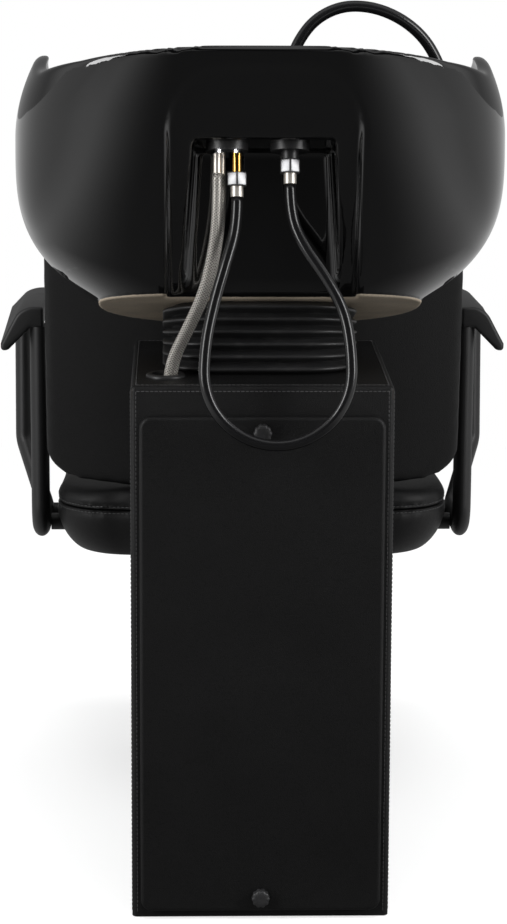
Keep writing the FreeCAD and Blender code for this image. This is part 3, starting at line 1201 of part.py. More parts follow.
    tails, nuts = [], []
    for name, side in (("cold_hose", -1), ("hot_hose", 1)):
        pair = Vector(side * SUPPLY_PAIR_X, side * SUPPLY_PAIR_Y, 0)
        tail_at = at + Vector(-SUPPLY_TAIL_X, 0, 0) + pair
        start_z = shank_end - SUPPLY_TAIL_L
        tails.append(rod(tail_at + up * start_z, up, SUPPLY_TAIL_R, SUPPLY_TAIL_L))
        end = Vector(GROMMET_X, SUPPLY_END_Y + side * SUPPLY_END_SPREAD, SUPPLY_END_Z + SUPPLY_NUT_H)
        route = [basin_point(tail_at.x, tail_at.y, start_z), basin_point(tail_at.x, tail_at.y, start_z - HOSE_LEAD)]
        route += [Vector(x, y, z) + pair for x, y, z in SUPPLY_ROUTE]
        route += [Vector(GROMMET_X, SUPPLY_END_Y + side * SUPPLY_END_SPREAD * k, z) for k, z in SUPPLY_FAN]
        route.append(end)
        add(name, cord(name, route, SUPPLY_R))
        nut = hexagon(end - up * SUPPLY_NUT_H, up, SUPPLY_NUT_AF, SUPPLY_NUT_H)
        nuts.append(nut.cut(rod(end - up * (SUPPLY_NUT_H + 1), up, SUPPLY_THREAD_R, SUPPLY_THREAD_L + 1)))
    add("supply_tails", tilted(Part.makeCompound(tails)))
    add("supply_nuts", Part.makeCompound(nuts))


def mixer_x():
    """Sideways place of the mixer, whose outlet tube is off its middle."""
    return -FITTING_X - MIXER_OFFSET


# Hose routes between their straight ends, chosen by eye along the hanging curves
LINK_ROUTE = [
    (-43, -189, 779), (-56, -199, 736), (-66, -211, 691), (-68, -219, 640), (-46, -224, 601), (-7, -225, 578),
    (38, -225, 578), (77, -224, 601), (99, -219, 640), (98, -212, 688), (90, -201, 730), (68, -192, 767),
    (44, -181, 800),
]
SPRAY_ROUTE = [
    (38, -120, 1021), (58, -115, 1048), (89, -110, 1063), (124, -107, 1062), (157, -103, 1049), (184, -98, 1027),
    (201, -94, 999), (212, -89, 967), (216, -81, 932),
]
SUPPLY_ROUTE = [
    (-53, -163, 800), (-64, -148, 745), (-84, -124, 697), (-104, -106, 655), (-109, -102, 600), (-110, -100, 520),
    (-110, -97, 400), (-110.5, -93, 310),
]
SUPPLY_FAN = [(0.55, 235), (1.0, 165)]


def handset(up):
    """Hand spray standing face down in the bowl; returns its tail point and the way the tail looks."""
    floor = BOWL_FLOOR_Z + MOVE_GAP
    at = Vector(HANDSET_HEAD_X, HANDSET_HEAD_Y, 0)
    face = rod(at + up * floor, up, HANDSET_HEAD_R - 3, HANDSET_FACE_T)
    add("handset_face", tilted(face))
    base = floor + HANDSET_FACE_T
    profile = [Vector(0, 0, base), Vector(HANDSET_HEAD_R, 0, base), Vector(HANDSET_HEAD_R, 0, base + 5)]
    crown = Part.Arc(profile[-1], Vector(0.75 * HANDSET_HEAD_R, 0, base + 0.78 * HANDSET_HEAD_H),
                     Vector(0, 0, base + HANDSET_HEAD_H)).toShape()
    outline = Part.Wire([Part.makeLine(profile[0], profile[1]), Part.makeLine(profile[1], profile[2]), crown,
                         Part.makeLine(Vector(0, 0, base + HANDSET_HEAD_H), profile[0])])
    head = Part.Face(outline).revolve(Vector(), up, 360)
    head.translate(at)
    root = at + up * (base + 0.5 * HANDSET_HEAD_H)
    forward = (root - handset_tail()).normalize()
    length = (root - handset_tail()).Length
    handle = Part.makeCone(HANDSET_TAIL_R, HANDSET_R, 0.6 * length, handset_tail(), forward)
    neck = Part.makeCone(HANDSET_R, 0.8 * HANDSET_R, 0.4 * length, handset_tail() + forward * (0.6 * length), forward)
    add("handset", tilted(head.fuse([handle, neck]).removeSplitter()))
    return handset_tail(), forward


def main():
    """Build every piece and write one STEP file for each."""
    pedestal()
    access_panel()
    pan = plinth_and_seat()
    backrest(pan)
    arms(pan)
    hinge()
    bellows()
    basin()
    waste()
    mixer()
    os.makedirs("parts", exist_ok=True)
    for name, shape in NODES.items():
        shape.exportStep("parts/" + name + ".step")
    print(len(NODES), "nodes")


main()
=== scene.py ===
"""Looks of a salon backwash unit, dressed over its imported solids.

Metres, in the part's own frame: the origin is on the floor under the pedestal, +Y is the way the
seated client faces and +Z is up.
"""
from __future__ import annotations

import logging
import math
from dataclasses import dataclass, field
from enum import Enum
from functools import cached_property
from typing import Any, Callable, Sequence

import bmesh
import bpy
import numpy as np
from mathutils import Matrix, Vector


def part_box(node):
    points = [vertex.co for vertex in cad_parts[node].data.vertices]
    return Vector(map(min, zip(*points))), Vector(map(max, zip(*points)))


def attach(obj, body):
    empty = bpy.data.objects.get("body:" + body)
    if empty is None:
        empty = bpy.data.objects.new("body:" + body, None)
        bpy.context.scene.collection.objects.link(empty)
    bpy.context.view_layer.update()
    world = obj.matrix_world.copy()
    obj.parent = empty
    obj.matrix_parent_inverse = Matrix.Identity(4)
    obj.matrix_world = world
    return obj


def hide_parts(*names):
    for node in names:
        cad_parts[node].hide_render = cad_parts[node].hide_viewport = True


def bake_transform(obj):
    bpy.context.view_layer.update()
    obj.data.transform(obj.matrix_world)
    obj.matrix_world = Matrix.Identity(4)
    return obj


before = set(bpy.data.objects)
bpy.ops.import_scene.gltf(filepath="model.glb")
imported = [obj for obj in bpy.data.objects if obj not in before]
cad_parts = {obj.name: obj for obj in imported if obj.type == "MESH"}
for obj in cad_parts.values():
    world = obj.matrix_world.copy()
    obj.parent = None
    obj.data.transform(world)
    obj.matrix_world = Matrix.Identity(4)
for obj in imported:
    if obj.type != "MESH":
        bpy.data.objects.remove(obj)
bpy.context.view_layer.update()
LOG = logging.getLogger("backwash")

Piece = bpy.types.Object
Array = np.ndarray
Point = tuple[float, float, float]
Colour = tuple[float, float, float]
Outline = tuple[Array, Array]
Test = Callable[[Vector, Vector], bool]
MM = 0.001
UP = Vector((0.0, 0.0, 1.0))


class Body(str, Enum):
    """Rigid bodies that the dressed pieces ride on."""

    BASE = "base"
    BASIN = "basin"
    HANDSET = "handset"
    UPPER_SCREW = "upper_thumb_screw"
    LOWER_SCREW = "lower_thumb_screw"


class Slot(str, Enum):
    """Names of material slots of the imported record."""

    VINYL = "vinyl"
    ARM = "arm_plastic"
    BRAID = "braid"
    CHROME = "chrome"
    RUBBER = "rubber"
    CERAMIC = "ceramic"
    HOSE = "hose"
    SCREW = "screw_plastic"


def joined(operation: str, swapped: bool = False) -> Callable[["Val", Any], "Val"]:
    """A method that adds a Math node on two values, with its own value last if swapped."""
    def method(own: "Val", other: Any) -> "Val":
        """Join two values."""
        return own.graph.math(operation, *((other, own) if swapped else (own, other)))
    return method


class Val:
    """One socket of a node tree, on which sums can be written."""

    def __init__(self, graph: "Graph", socket: bpy.types.NodeSocket) -> None:
        """Wrap a socket of a tree."""
        self.graph = graph
        self.socket = socket

    __add__, __radd__ = joined("ADD"), joined("ADD", True)
    __sub__, __rsub__ = joined("SUBTRACT"), joined("SUBTRACT", True)
    __mul__, __rmul__ = joined("MULTIPLY"), joined("MULTIPLY", True)


class Graph:
    """A node tree that is written as sums and calls."""

    def __init__(self, tree: bpy.types.NodeTree) -> None:
        """Start with an empty tree."""
        self.tree = tree
        tree.nodes.clear()

    def node(self, kind: str, settings: dict[str, Any], sockets: dict[Any, Any]) -> bpy.types.Node:
        """Add a node.

        Args:
            kind: The node's type.
            settings: Its properties, set first.
            sockets: Values or links of its inputs, by name or number.

        Returns:
            The new node.
        """
        made = self.tree.nodes.new(kind)
        for key, value in settings.items():
            setattr(made, key, value)
        for key, value in sockets.items():
            self.feed(made.inputs[key], value)
        return made

    def feed(self, socket: bpy.types.NodeSocket, value: Any) -> None:
        """Set a socket to a number or colour, or link it to a value."""
        if isinstance(value, Val):
            self.tree.links.new(value.socket, socket)
        elif hasattr(value, "__len__") and len(value) == 3 and len(socket.default_value) == 4:
            socket.default_value = (*value, 1.0)
        else:
            socket.default_value = value

    def get(self, kind: str, settings: dict[str, Any], sockets: dict[Any, Any], output: Any = 0) -> Val:
        """Add a node and take one of its outputs."""
        return Val(self, self.node(kind, settings, sockets).outputs[output])

    def math(self, operation: str, a: Any, b: Any = 0.0) -> Val:
        """Add a Math node on two values."""
        return self.get("ShaderNodeMath", {"operation": operation}, {0: a, 1: b})

    @cached_property
    def where(self) -> Val:
        """Object coordinates."""
        return self.get("ShaderNodeTexCoord", {}, {}, "Object")

    def axes(self, where: Val) -> list[Val]:
        """The three parts of a vector."""
        split = self.node("ShaderNodeSeparateXYZ", {}, {0: where})
        return [Val(self, part) for part in split.outputs]

    def ray(self, *kinds: str) -> Val:
        """One where the ray is of one of the kinds, and zero for others."""
        path = self.node("ShaderNodeLightPath", {}, {})
        found = [Val(self, path.outputs[f"Is {kind} Ray"]) for kind in kinds]
        return found[0] if len(found) == 1 else self.math("MAXIMUM", found[0], found[1])

    def noise(self, scale: float, detail: float = 3.0, where: Val | None = None) -> Val:
        """Smooth noise between 0 and 1."""
        sockets = {"Vector": where or self.where, "Scale": scale, "Detail": detail}
        return self.get("ShaderNodeTexNoise", {}, sockets, "Fac")

    def cells(self, scale: float, feature: str = "DISTANCE_TO_EDGE") -> Val:
        """Distance to the nearest wall of a pattern of cells, or to its nearest point."""
        sockets = {"Vector": self.where, "Scale": scale}
        return self.get("ShaderNodeTexVoronoi", {"feature": feature}, sockets, "Distance")

    def band(self, value: Val, low: float, high: float, to_low: float = 0.0, to_high: float = 1.0) -> Val:
        """Map a range of a value smoothly onto another, and hold it at the ends."""
        settings = {"interpolation_type": "SMOOTHSTEP"}
        return self.get("ShaderNodeMapRange", settings, {0: value, 1: low, 2: high, 3: to_low, 4: to_high})

    def mix(self, share: Val, first: Any, second: Any) -> Val:
        """Mix two colours."""
        return self.get("ShaderNodeMix", {"data_type": "RGBA"}, {0: share, 6: first, 7: second}, 2)


class Recipe(Graph):
    """A material's node tree with one principled shader."""

    def __init__(self, name: str) -> None:
        """Start a tree that ends in a principled shader."""
        self.material = bpy.data.materials.new(name)
        self.material.use_nodes = True
        super().__init__(self.material.node_tree)
        self.out = self.node("ShaderNodeOutputMaterial", {}, {})
        self.shader = self.node("ShaderNodeBsdfPrincipled", {}, {})
        self.show(self.shader)

    def show(self, shader: bpy.types.Node) -> None:
        """Let the material's surface be a shader."""
        self.tree.links.new(shader.outputs[0], self.out.inputs["Surface"])

    def spread(self, share: Val, colour: Colour, low: float = 0.8, high: float = 1.25) -> Val:
        """A colour that wanders between a darker and a lighter shade."""
        return self.mix(share, shade(colour, low), shade(colour, high))

    def bump(self, height: Val, strength: float, distance: float) -> None:
        """Raise the surface by a height."""
        bent = self.get("ShaderNodeBump", {}, {"Height": height, "Strength": strength, "Distance": distance})
        self.feed(self.shader.inputs["Normal"], bent)

    def set(self, **sockets: Any) -> None:
        """Feed the shader's sockets, named with _ for a space."""
        for key, value in sockets.items():
            self.feed(self.shader.inputs[key.replace("_", " ")], value)


def shade(colour: Colour, factor: float) -> Colour:
    """A colour made lighter or darker."""
    return (colour[0] * factor, colour[1] * factor, colour[2] * factor)


def grey(tone: float) -> Colour:
    """A colour without hue."""
    return (tone, tone, tone)


MADE: dict[str, bpy.types.Material] = {}


@dataclass(frozen=True)
class Finish:
    """A surface finish, made into a material once."""

    name: str
    colour: Colour
    roughness: float

    def material(self) -> bpy.types.Material:
        """The finish's material."""
        if self.name not in MADE:
            recipe = Recipe(self.name)
            self.cook(recipe)
            MADE[self.name] = recipe.material
        return MADE[self.name]

    def cook(self, recipe: Recipe) -> None:
        """Fill the recipe."""
        raise NotImplementedError


@dataclass(frozen=True)
class Vinyl(Finish):
    """Grained upholstery vinyl."""

    grain: float = 520.0
    depth: float = 0.00022

    def cook(self, recipe: Recipe) -> None:
        """Cells of grain with fine wrinkles, and a roughness that wanders."""
        drift = recipe.noise(14.0, 4.0)
        fine = recipe.noise(self.grain * 2.1, 2.0)
        walls = recipe.band(recipe.cells(self.grain), 0.0, 0.16)
        worn = recipe.band(recipe.noise(3.5, 3.0), 0.4, 0.75)
        tone = recipe.spread(drift, self.colour, 0.75, 1.3)
        recipe.set(Base_Color=recipe.mix(walls, shade(self.colour, 0.45), tone),
                   Roughness=self.roughness + 0.12 * drift - 0.05 * worn + 0.08 * (1 - walls),
                   IOR=1.5, Specular_IOR_Level=0.27)
        recipe.bump(walls * 0.8 + 0.35 * fine, 0.55, self.depth)


@dataclass(frozen=True)
class Glaze(Finish):
    """Gloss black glaze over ceramic, bare where the piece's attribute says so."""

    bare: Colour = (0.68, 0.575, 0.445)

    def cook(self, recipe: Recipe) -> None:
        """Deep black with a faint ripple; speckled buff clay on the bare foot."""
        bare = recipe.get("ShaderNodeAttribute", {"attribute_name": "bare"}, {}, "Fac")
        edge = recipe.band(bare + 0.22 * (recipe.noise(90.0, 3.0) - 0.5), 0.42, 0.58)
        clouds = recipe.noise(22.0, 5.0)
        specks = recipe.band(recipe.cells(420.0, "F1"), 0.10, 0.26)
        clay = recipe.spread(clouds, self.bare, 0.62)
        clay = recipe.mix(specks, shade(self.bare, 0.40), clay)
        glaze = recipe.spread(recipe.noise(30.0, 2.0), self.colour)
        smear = recipe.band(recipe.noise(7.0, 3.0), 0.45, 0.8)
        recipe.set(Base_Color=recipe.mix(edge, glaze, clay),
                   Roughness=self.roughness + 0.02 * smear + 0.62 * edge,
                   Coat_Weight=0.6 * (1 - edge), Coat_Roughness=0.02, IOR=1.52)
        ripple = recipe.noise(38.0, 1.0)
        grit = recipe.noise(900.0, 3.0)
        recipe.bump(0.25 * ripple * (1 - edge) + 0.9 * grit * edge, 0.12, 0.0006)


@dataclass(frozen=True)
class Moulded(Finish):
    """Moulded rubber, foam or plastic with a fine texture."""

    texture: float = 900.0
    depth: float = 0.0001
    dust: float = 0.0

    def cook(self, recipe: Recipe) -> None:
        """Fine pits, slow drift of tone and a little dust where asked."""
        drift = recipe.noise(18.0, 4.0)
        pits = recipe.noise(self.texture, 3.0)
        tone = recipe.spread(drift, self.colour)
        if self.dust > 0:
            haze = recipe.band(recipe.noise(60.0, 6.0), 0.5, 0.85)
            tone = recipe.mix(haze * self.dust, tone, (0.16, 0.155, 0.15))
        scuffs = recipe.band(recipe.noise(45.0, 6.0), 0.55, 0.8)
        recipe.set(Base_Color=tone, Roughness=self.roughness + 0.08 * drift + 0.05 * scuffs)
        recipe.bump(pits, 0.5, self.depth)


@dataclass(frozen=True)
class Metal(Finish):
    """Plated or bare metal."""

    brushed: float = 0.0
    metallic: float = 1.0
    turning: Point = (60.0, 60.0, 2200.0)

    def cook(self, recipe: Recipe) -> None:
        """Slight smears of roughness, and fine turning lines where brushed."""
        smear = recipe.noise(120.0, 4.0)
        tarnish = recipe.band(recipe.noise(55.0, 5.0), 0.45, 0.85)
        tone = recipe.spread(tarnish, self.colour, 1.0, 0.72)
        recipe.set(Base_Color=tone, Metallic=self.metallic, Roughness=self.roughness + 0.08 * smear)
        stretch = {"Vector": recipe.where, "Scale": self.turning}
        lines = recipe.noise(1.0, 2.0, recipe.get("ShaderNodeMapping", {}, stretch))
        recipe.bump(lines * self.brushed + 0.1 * smear, 0.25, 0.00008)


@dataclass(frozen=True)
class Braid(Finish):
    """Woven steel sleeve of a supply hose, drawn along the hose's own length."""

    length: float = 0.79
    lay: float = 0.0046
    strands: int = 16

    def cook(self, recipe: Recipe) -> None:
        """Two families of crossing strands that pass over and under, with painted shade where the strands
        sink.
        """
        u, v, _ = recipe.axes(recipe.get("ShaderNodeTexCoord", {}, {}, "UV"))
        along = u * (self.length / self.lay * 2.0)
        girth = v * float(self.strands)
        right = recipe.math("PINGPONG", along + girth, 1.0)
        left = recipe.math("PINGPONG", along - girth, 1.0)
        turn = recipe.math("PINGPONG", along, 1.0)
        over = recipe.band(turn, 0.4, 0.6)
        height = recipe.math("MAXIMUM", right * (0.6 + 0.4 * over), left * (1.0 - 0.4 * over))
        wires = recipe.math("PINGPONG", height * 6.0, 1.0)
        # Painted shade: the colour falls to 0.12 of itself where the strands sink between their neighbours.
        lit = recipe.band(height, 0.25, 0.75)
        recipe.set(Base_Color=recipe.spread(lit, self.colour, 0.12, 1.0), Metallic=0.6,
                   Roughness=self.roughness + 0.12 * wires)
        recipe.bump(height * 0.8 + 0.2 * wires, 0.9, 0.0006)


VINYL = Vinyl("black_vinyl", (0.0062, 0.0062, 0.0064), 0.42)
BOARD = Moulded("raw_board", (0.03, 0.027, 0.024), 0.75, 300.0, 0.0003)
GLAZE = Glaze("black_glaze", (0.0022, 0.0022, 0.0024), 0.045)
RUBBER = Moulded("bellows_rubber", (0.013, 0.013, 0.0135), 0.42, 1400.0, 0.00006, 0.10)
WASTE_RUBBER = Moulded("waste_rubber", (0.014, 0.014, 0.014), 0.5)
HOSE = Moulded("gloss_hose", (0.0075, 0.0075, 0.008), 0.16, 300.0, 0.00003)
ARM = Moulded("arm_foam", (0.0095, 0.0095, 0.0098), 0.44, 1500.0, 0.00008)
PLASTIC = Moulded("black_fitting", (0.016, 0.016, 0.0165), 0.36, 1200.0, 0.00006)
GEL = Moulded("neck_gel", (0.013, 0.013, 0.0135), 0.48, 700.0, 0.00008)
SCREW = Moulded("thumb_screw", (0.020, 0.020, 0.021), 0.42, 1500.0, 0.00007, 0.06)
THREAD = Moulded("seam_thread", (0.055, 0.055, 0.056), 0.5, 3000.0, 0.0001)
PIPE = Moulded("grey_pipe", (0.30, 0.31, 0.32), 0.42)
PAINT = Moulded("black_paint", (0.018, 0.018, 0.0185), 0.40, 1800.0, 0.00008)
CHROME = Metal("polished_chrome", (0.66, 0.66, 0.68), 0.07)
NICKEL = Metal("tumbled_nickel", (0.22, 0.22, 0.225), 0.28, 0.3, 0.85)
ZINC = Metal("zinc_plate", (0.50, 0.50, 0.49), 0.30, 0.5)
SATIN = Metal("satin_ferrule", (0.70, 0.66, 0.60), 0.33, 0.9, 0.7)
BRASS = Metal("bare_brass", (0.62, 0.36, 0.085), 0.17, 0.4)
BRAID = Braid("steel_braid", (0.66, 0.63, 0.58), 0.24)


class Bench:
    """Modelling steps, as by hand, on Blender's own operators."""

    @staticmethod
    def free() -> None:
        """Leave edit mode and deselect everything."""
        if bpy.context.object and bpy.context.object.mode != "OBJECT":
            bpy.ops.object.mode_set(mode="OBJECT")
        bpy.ops.object.select_all(action="DESELECT")

    @staticmethod
    def hold(piece: Piece) -> None:
        """Select one piece alone."""
        Bench.free()
        piece.select_set(True)
        bpy.context.view_layer.objects.active = piece

    @staticmethod
    def add(name: str, data: bpy.types.ID) -> Piece:
        """Put a new piece with given data into the scene."""
        piece = bpy.data.objects.new(name, data)
        bpy.context.scene.collection.objects.link(piece)
        return piece

    @staticmethod
    def named(name: str) -> Piece:
        """Name the piece that was just added, and apply its place."""
        piece = bpy.context.object
        piece.name = name
        piece.data.name = name
        bpy.ops.object.transform_apply(location=True, rotation=True, scale=True)
        return piece

    @staticmethod
    def block(name: str, low: Sequence[float], high: Sequence[float]) -> Piece:
        """A box between two corners, as a start."""
        Bench.free()
        size = [b - a for a, b in zip(low, high)]
        middle = [(a + b) / 2 for a, b in zip(low, high)]
        bpy.ops.mesh.primitive_cube_add(size=1.0, location=middle, scale=size)
        return Bench.named(name)

    @staticmethod
    def round(name: str, base: Vector, axis: Vector, radius: float, length: float,
              sides: int = 48) -> Piece:
        """A round bar from a base point along an axis, as a start."""
        Bench.free()
        turn = UP.rotation_difference(axis).to_euler()
        middle = base + axis.normalized() * (length / 2)
        bpy.ops.mesh.primitive_cylinder_add(vertices=sides, radius=radius, depth=length, location=middle,
                                            rotation=turn)
        return Bench.named(name)

    @staticmethod
    def pick(piece: Piece, kind: str, test: Test) -> None:
        """Enter edit mode with only the parts selected that pass a test.

        Args:
            piece: The piece to edit.
            kind: EDGE, tested by its two ends, or FACE, tested by its middle and normal.
            test: The test of the two vectors.
        """
        Bench.hold(piece)
        bpy.ops.object.mode_set(mode="EDIT")
        bpy.ops.mesh.select_mode(type=kind)
        bpy.ops.mesh.select_all(action="DESELECT")
        mesh = bmesh.from_edit_mesh(piece.data)
        if kind == "EDGE":
            for edge in mesh.edges:
                edge.select = test(edge.verts[0].co, edge.verts[1].co)
        else:
            for face in mesh.faces:
                face.select = test(face.calc_center_median(), face.normal)
        mesh.select_flush_mode()
        bmesh.update_edit_mesh(piece.data)

    @staticmethod
    def bevel(piece: Piece, test: Test, width: float,
              steps: int) -> None:
        """Round the edges that pass a test."""
        Bench.pick(piece, "EDGE", test)
        bpy.ops.mesh.bevel(offset=width, segments=steps, profile=0.5, affect="EDGES")
        bpy.ops.object.mode_set(mode="OBJECT")

    @staticmethod
    def modify(piece: Piece, kind: str, **settings: Any) -> None:
        """Add a modifier and apply it."""
        Bench.hold(piece)
        made = piece.modifiers.new(kind.title(), kind)
        for key, value in settings.items():
            setattr(made, key, value)
        bpy.ops.object.modifier_apply(modifier=made.name)

    @staticmethod
    def remesh(piece: Piece, voxel: float) -> None:
        """Make a piece's mesh anew, of even quads."""
        Bench.modify(piece, "REMESH", mode="VOXEL", voxel_size=voxel)

    @staticmethod
    def smooth(piece: Piece, rounds: int) -> None:
        """Even out a piece's points."""
        Bench.modify(piece, "SMOOTH", factor=0.5, iterations=rounds)

    @staticmethod
    def cut(piece: Piece, tool: Piece) -> None:
        """Cut a tool's shape out of a piece."""
        Bench.modify(piece, "BOOLEAN", operation="DIFFERENCE", object=tool, solver="EXACT")
        bpy.data.objects.remove(tool)

    @staticmethod
    def break_edges(piece: Piece, width: float, steps: int, degrees: float) -> None:
        """Round every edge that is sharper than an angle."""
        Bench.modify(piece, "BEVEL", width=width, segments=steps, limit_method="ANGLE",
                     angle_limit=math.radians(degrees))

    @staticmethod
    def soften(piece: Piece, degrees: float = 40.0) -> None:
        """Shade smooth, apart from edges sharper than an angle."""
        Bench.hold(piece)
        bpy.ops.object.shade_smooth_by_angle(angle=math.radians(degrees))

    @staticmethod
    def merge(piece: Piece, gap: float, outward: bool) -> None:
        """Merge points closer than a gap, and turn the faces outwards if asked."""
        Bench.hold(piece)
        bpy.ops.object.mode_set(mode="EDIT")
        bpy.ops.mesh.select_all(action="SELECT")
        bpy.ops.mesh.remove_doubles(threshold=gap)
        if outward:
            bpy.ops.mesh.normals_make_consistent(inside=False)
        bpy.ops.object.mode_set(mode="OBJECT")

    @staticmethod
    def outward(piece: Piece) -> None:
        """Merge doubles and turn the faces outwards."""
        Bench.merge(piece, 0.00002, True)

    @staticmethod
    def copy_of(node: str, name: str) -> Piece:
        """A merged copy of a solid's mesh, as a start."""
        piece = Bench.add(name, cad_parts[node].data.copy())
        piece.data.materials.clear()
        Bench.outward(piece)
        return piece

    @staticmethod
    def mesh(name: str, points: Sequence[Any], faces: Sequence[Sequence[int]]) -> Piece:
        """A piece of given points and faces, as a start."""
        made = bpy.data.meshes.new(name)
        made.from_pydata(points, [], faces)
        return Bench.add(name, made)

    @staticmethod
    def skin(name: str, rings: Array) -> Piece:
        """A quad mesh through closed rings of points, given as rings by columns by three."""
        count, width = rings.shape[:2]
        faces = []
        for low in range(0, (count - 1) * width, width):
            for c in range(width):
                d = (c + 1) % width
                faces.append((low + c, low + d, low + width + d, low + width + c))
        return Bench.mesh(name, rings.reshape(-1, 3).tolist(), faces)


def points_of(piece: Piece, what: str = "co") -> Array:
    """A piece's vertices, or another of their vectors, as an array."""
    flat = np.empty(len(piece.data.vertices) * 3)
    piece.data.vertices.foreach_get(what, flat)
    return flat.reshape(-1, 3)


def normals_of(piece: Piece) -> Array:
    """A piece's vertex normals as an array."""
    return points_of(piece, "normal")


def set_points(piece: Piece, points: Array) -> None:
    """Move a piece's vertices."""
    piece.data.vertices.foreach_set("co", points.astype(np.float64).ravel())
    piece.data.update()


def dress(piece: Piece, finish: Finish, body: Body, slot: Slot, *nodes: str) -> Piece:
    """Give a piece its finish and body, and let it stand for solids.

    Args:
        piece: The finished piece.
        finish: Its surface.
        body: The body that it rides on.
        slot: The record's material slot; not used.
        nodes: Solids that it stands for.

    Returns:
        The piece.
    """
    piece.data.materials.clear()
    piece.data.materials.append(finish.material())
    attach(piece, body.value)
    if nodes:
        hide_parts(*nodes)
    LOG.info("%s rides on %s", piece.name, body.value)
    return piece


@dataclass
class Stitching:
    """Rows of thread along seams."""

    pitch: float = 0.0052
    length: float = 0.0042
    radius: float = 0.00062
    plump: float = 0.8
    centres: list[Vector] = field(default_factory=list)
    alongs: list[Vector] = field(default_factory=list)
    normals: list[Vector] = field(default_factory=list)

    def row(self, cover: Piece, path: Sequence[Vector]) -> None:
        """Lay stitches on a cover's surface along a path near it."""
        left = self.pitch / 2
        for start, end in zip(path, path[1:]):
            run = (end - start).length
            while left < run:
                near = start.lerp(end, left / run)
                found, spot, normal, _ = cover.closest_point_on_mesh(near)
                if found:
                    along = (end - start).normalized()
                    along = (along - normal * along.dot(normal)).normalized()
                    self.centres.append(spot.copy())
                    self.alongs.append(along)
                    self.normals.append(normal.copy())
                left += self.pitch
            left -= run

    def build(self, name: str) -> Piece:
        """Model one stitch and copy it to every place into one mesh."""
        Bench.free()
        bpy.ops.mesh.primitive_uv_sphere_add(segments=6, ring_count=5, radius=1.0)
        one = Bench.named("one_stitch")
        shape = points_of(one)
        shape = np.sign(shape) * np.abs(shape) ** self.plump
        shape = shape * np.array([self.radius, self.radius, self.length / 2])
        faces = [tuple(p.vertices) for p in one.data.polygons]
        bpy.data.objects.remove(one)
        vertices: list[Any] = []
        joined: list[tuple[int, ...]] = []
        for centre, along, normal in zip(self.centres, self.alongs, self.normals):
            side = normal.cross(along)
            turn = np.array([side, normal, along])
            offset = len(vertices)
            vertices.extend((shape @ turn + np.array(centre)).tolist())
            joined.extend(tuple(v + offset for v in f) for f in faces)
        piece = Bench.mesh(name, vertices, joined)
        Bench.soften(piece, 60.0)
        return piece


def bowed(points: Array, path: Sequence[Vector], depth: float, reach: float,
          normals: Array) -> Array:
    """Draw a surface in along a seam.

    Args:
        points: The surface's points.
        path: The seam's line.
        depth: How far it is drawn in.
        reach: How far from the seam the pull fades.
        normals: The surface's normals.

    Returns:
        The moved points.
    """
    nearest = np.full(len(points), 1e9)
    for start, end in zip(path, path[1:]):
        a, b = np.array(start), np.array(end)
        run = b - a
        share = np.clip((points - a) @ run / max(run @ run, 1e-12), 0, 1)
        nearest = np.minimum(nearest, np.linalg.norm(points - a - share[:, None] * run, axis=1))
    pull = depth * np.exp(-((nearest / reach) ** 2))
    return points - normals * pull[:, None]


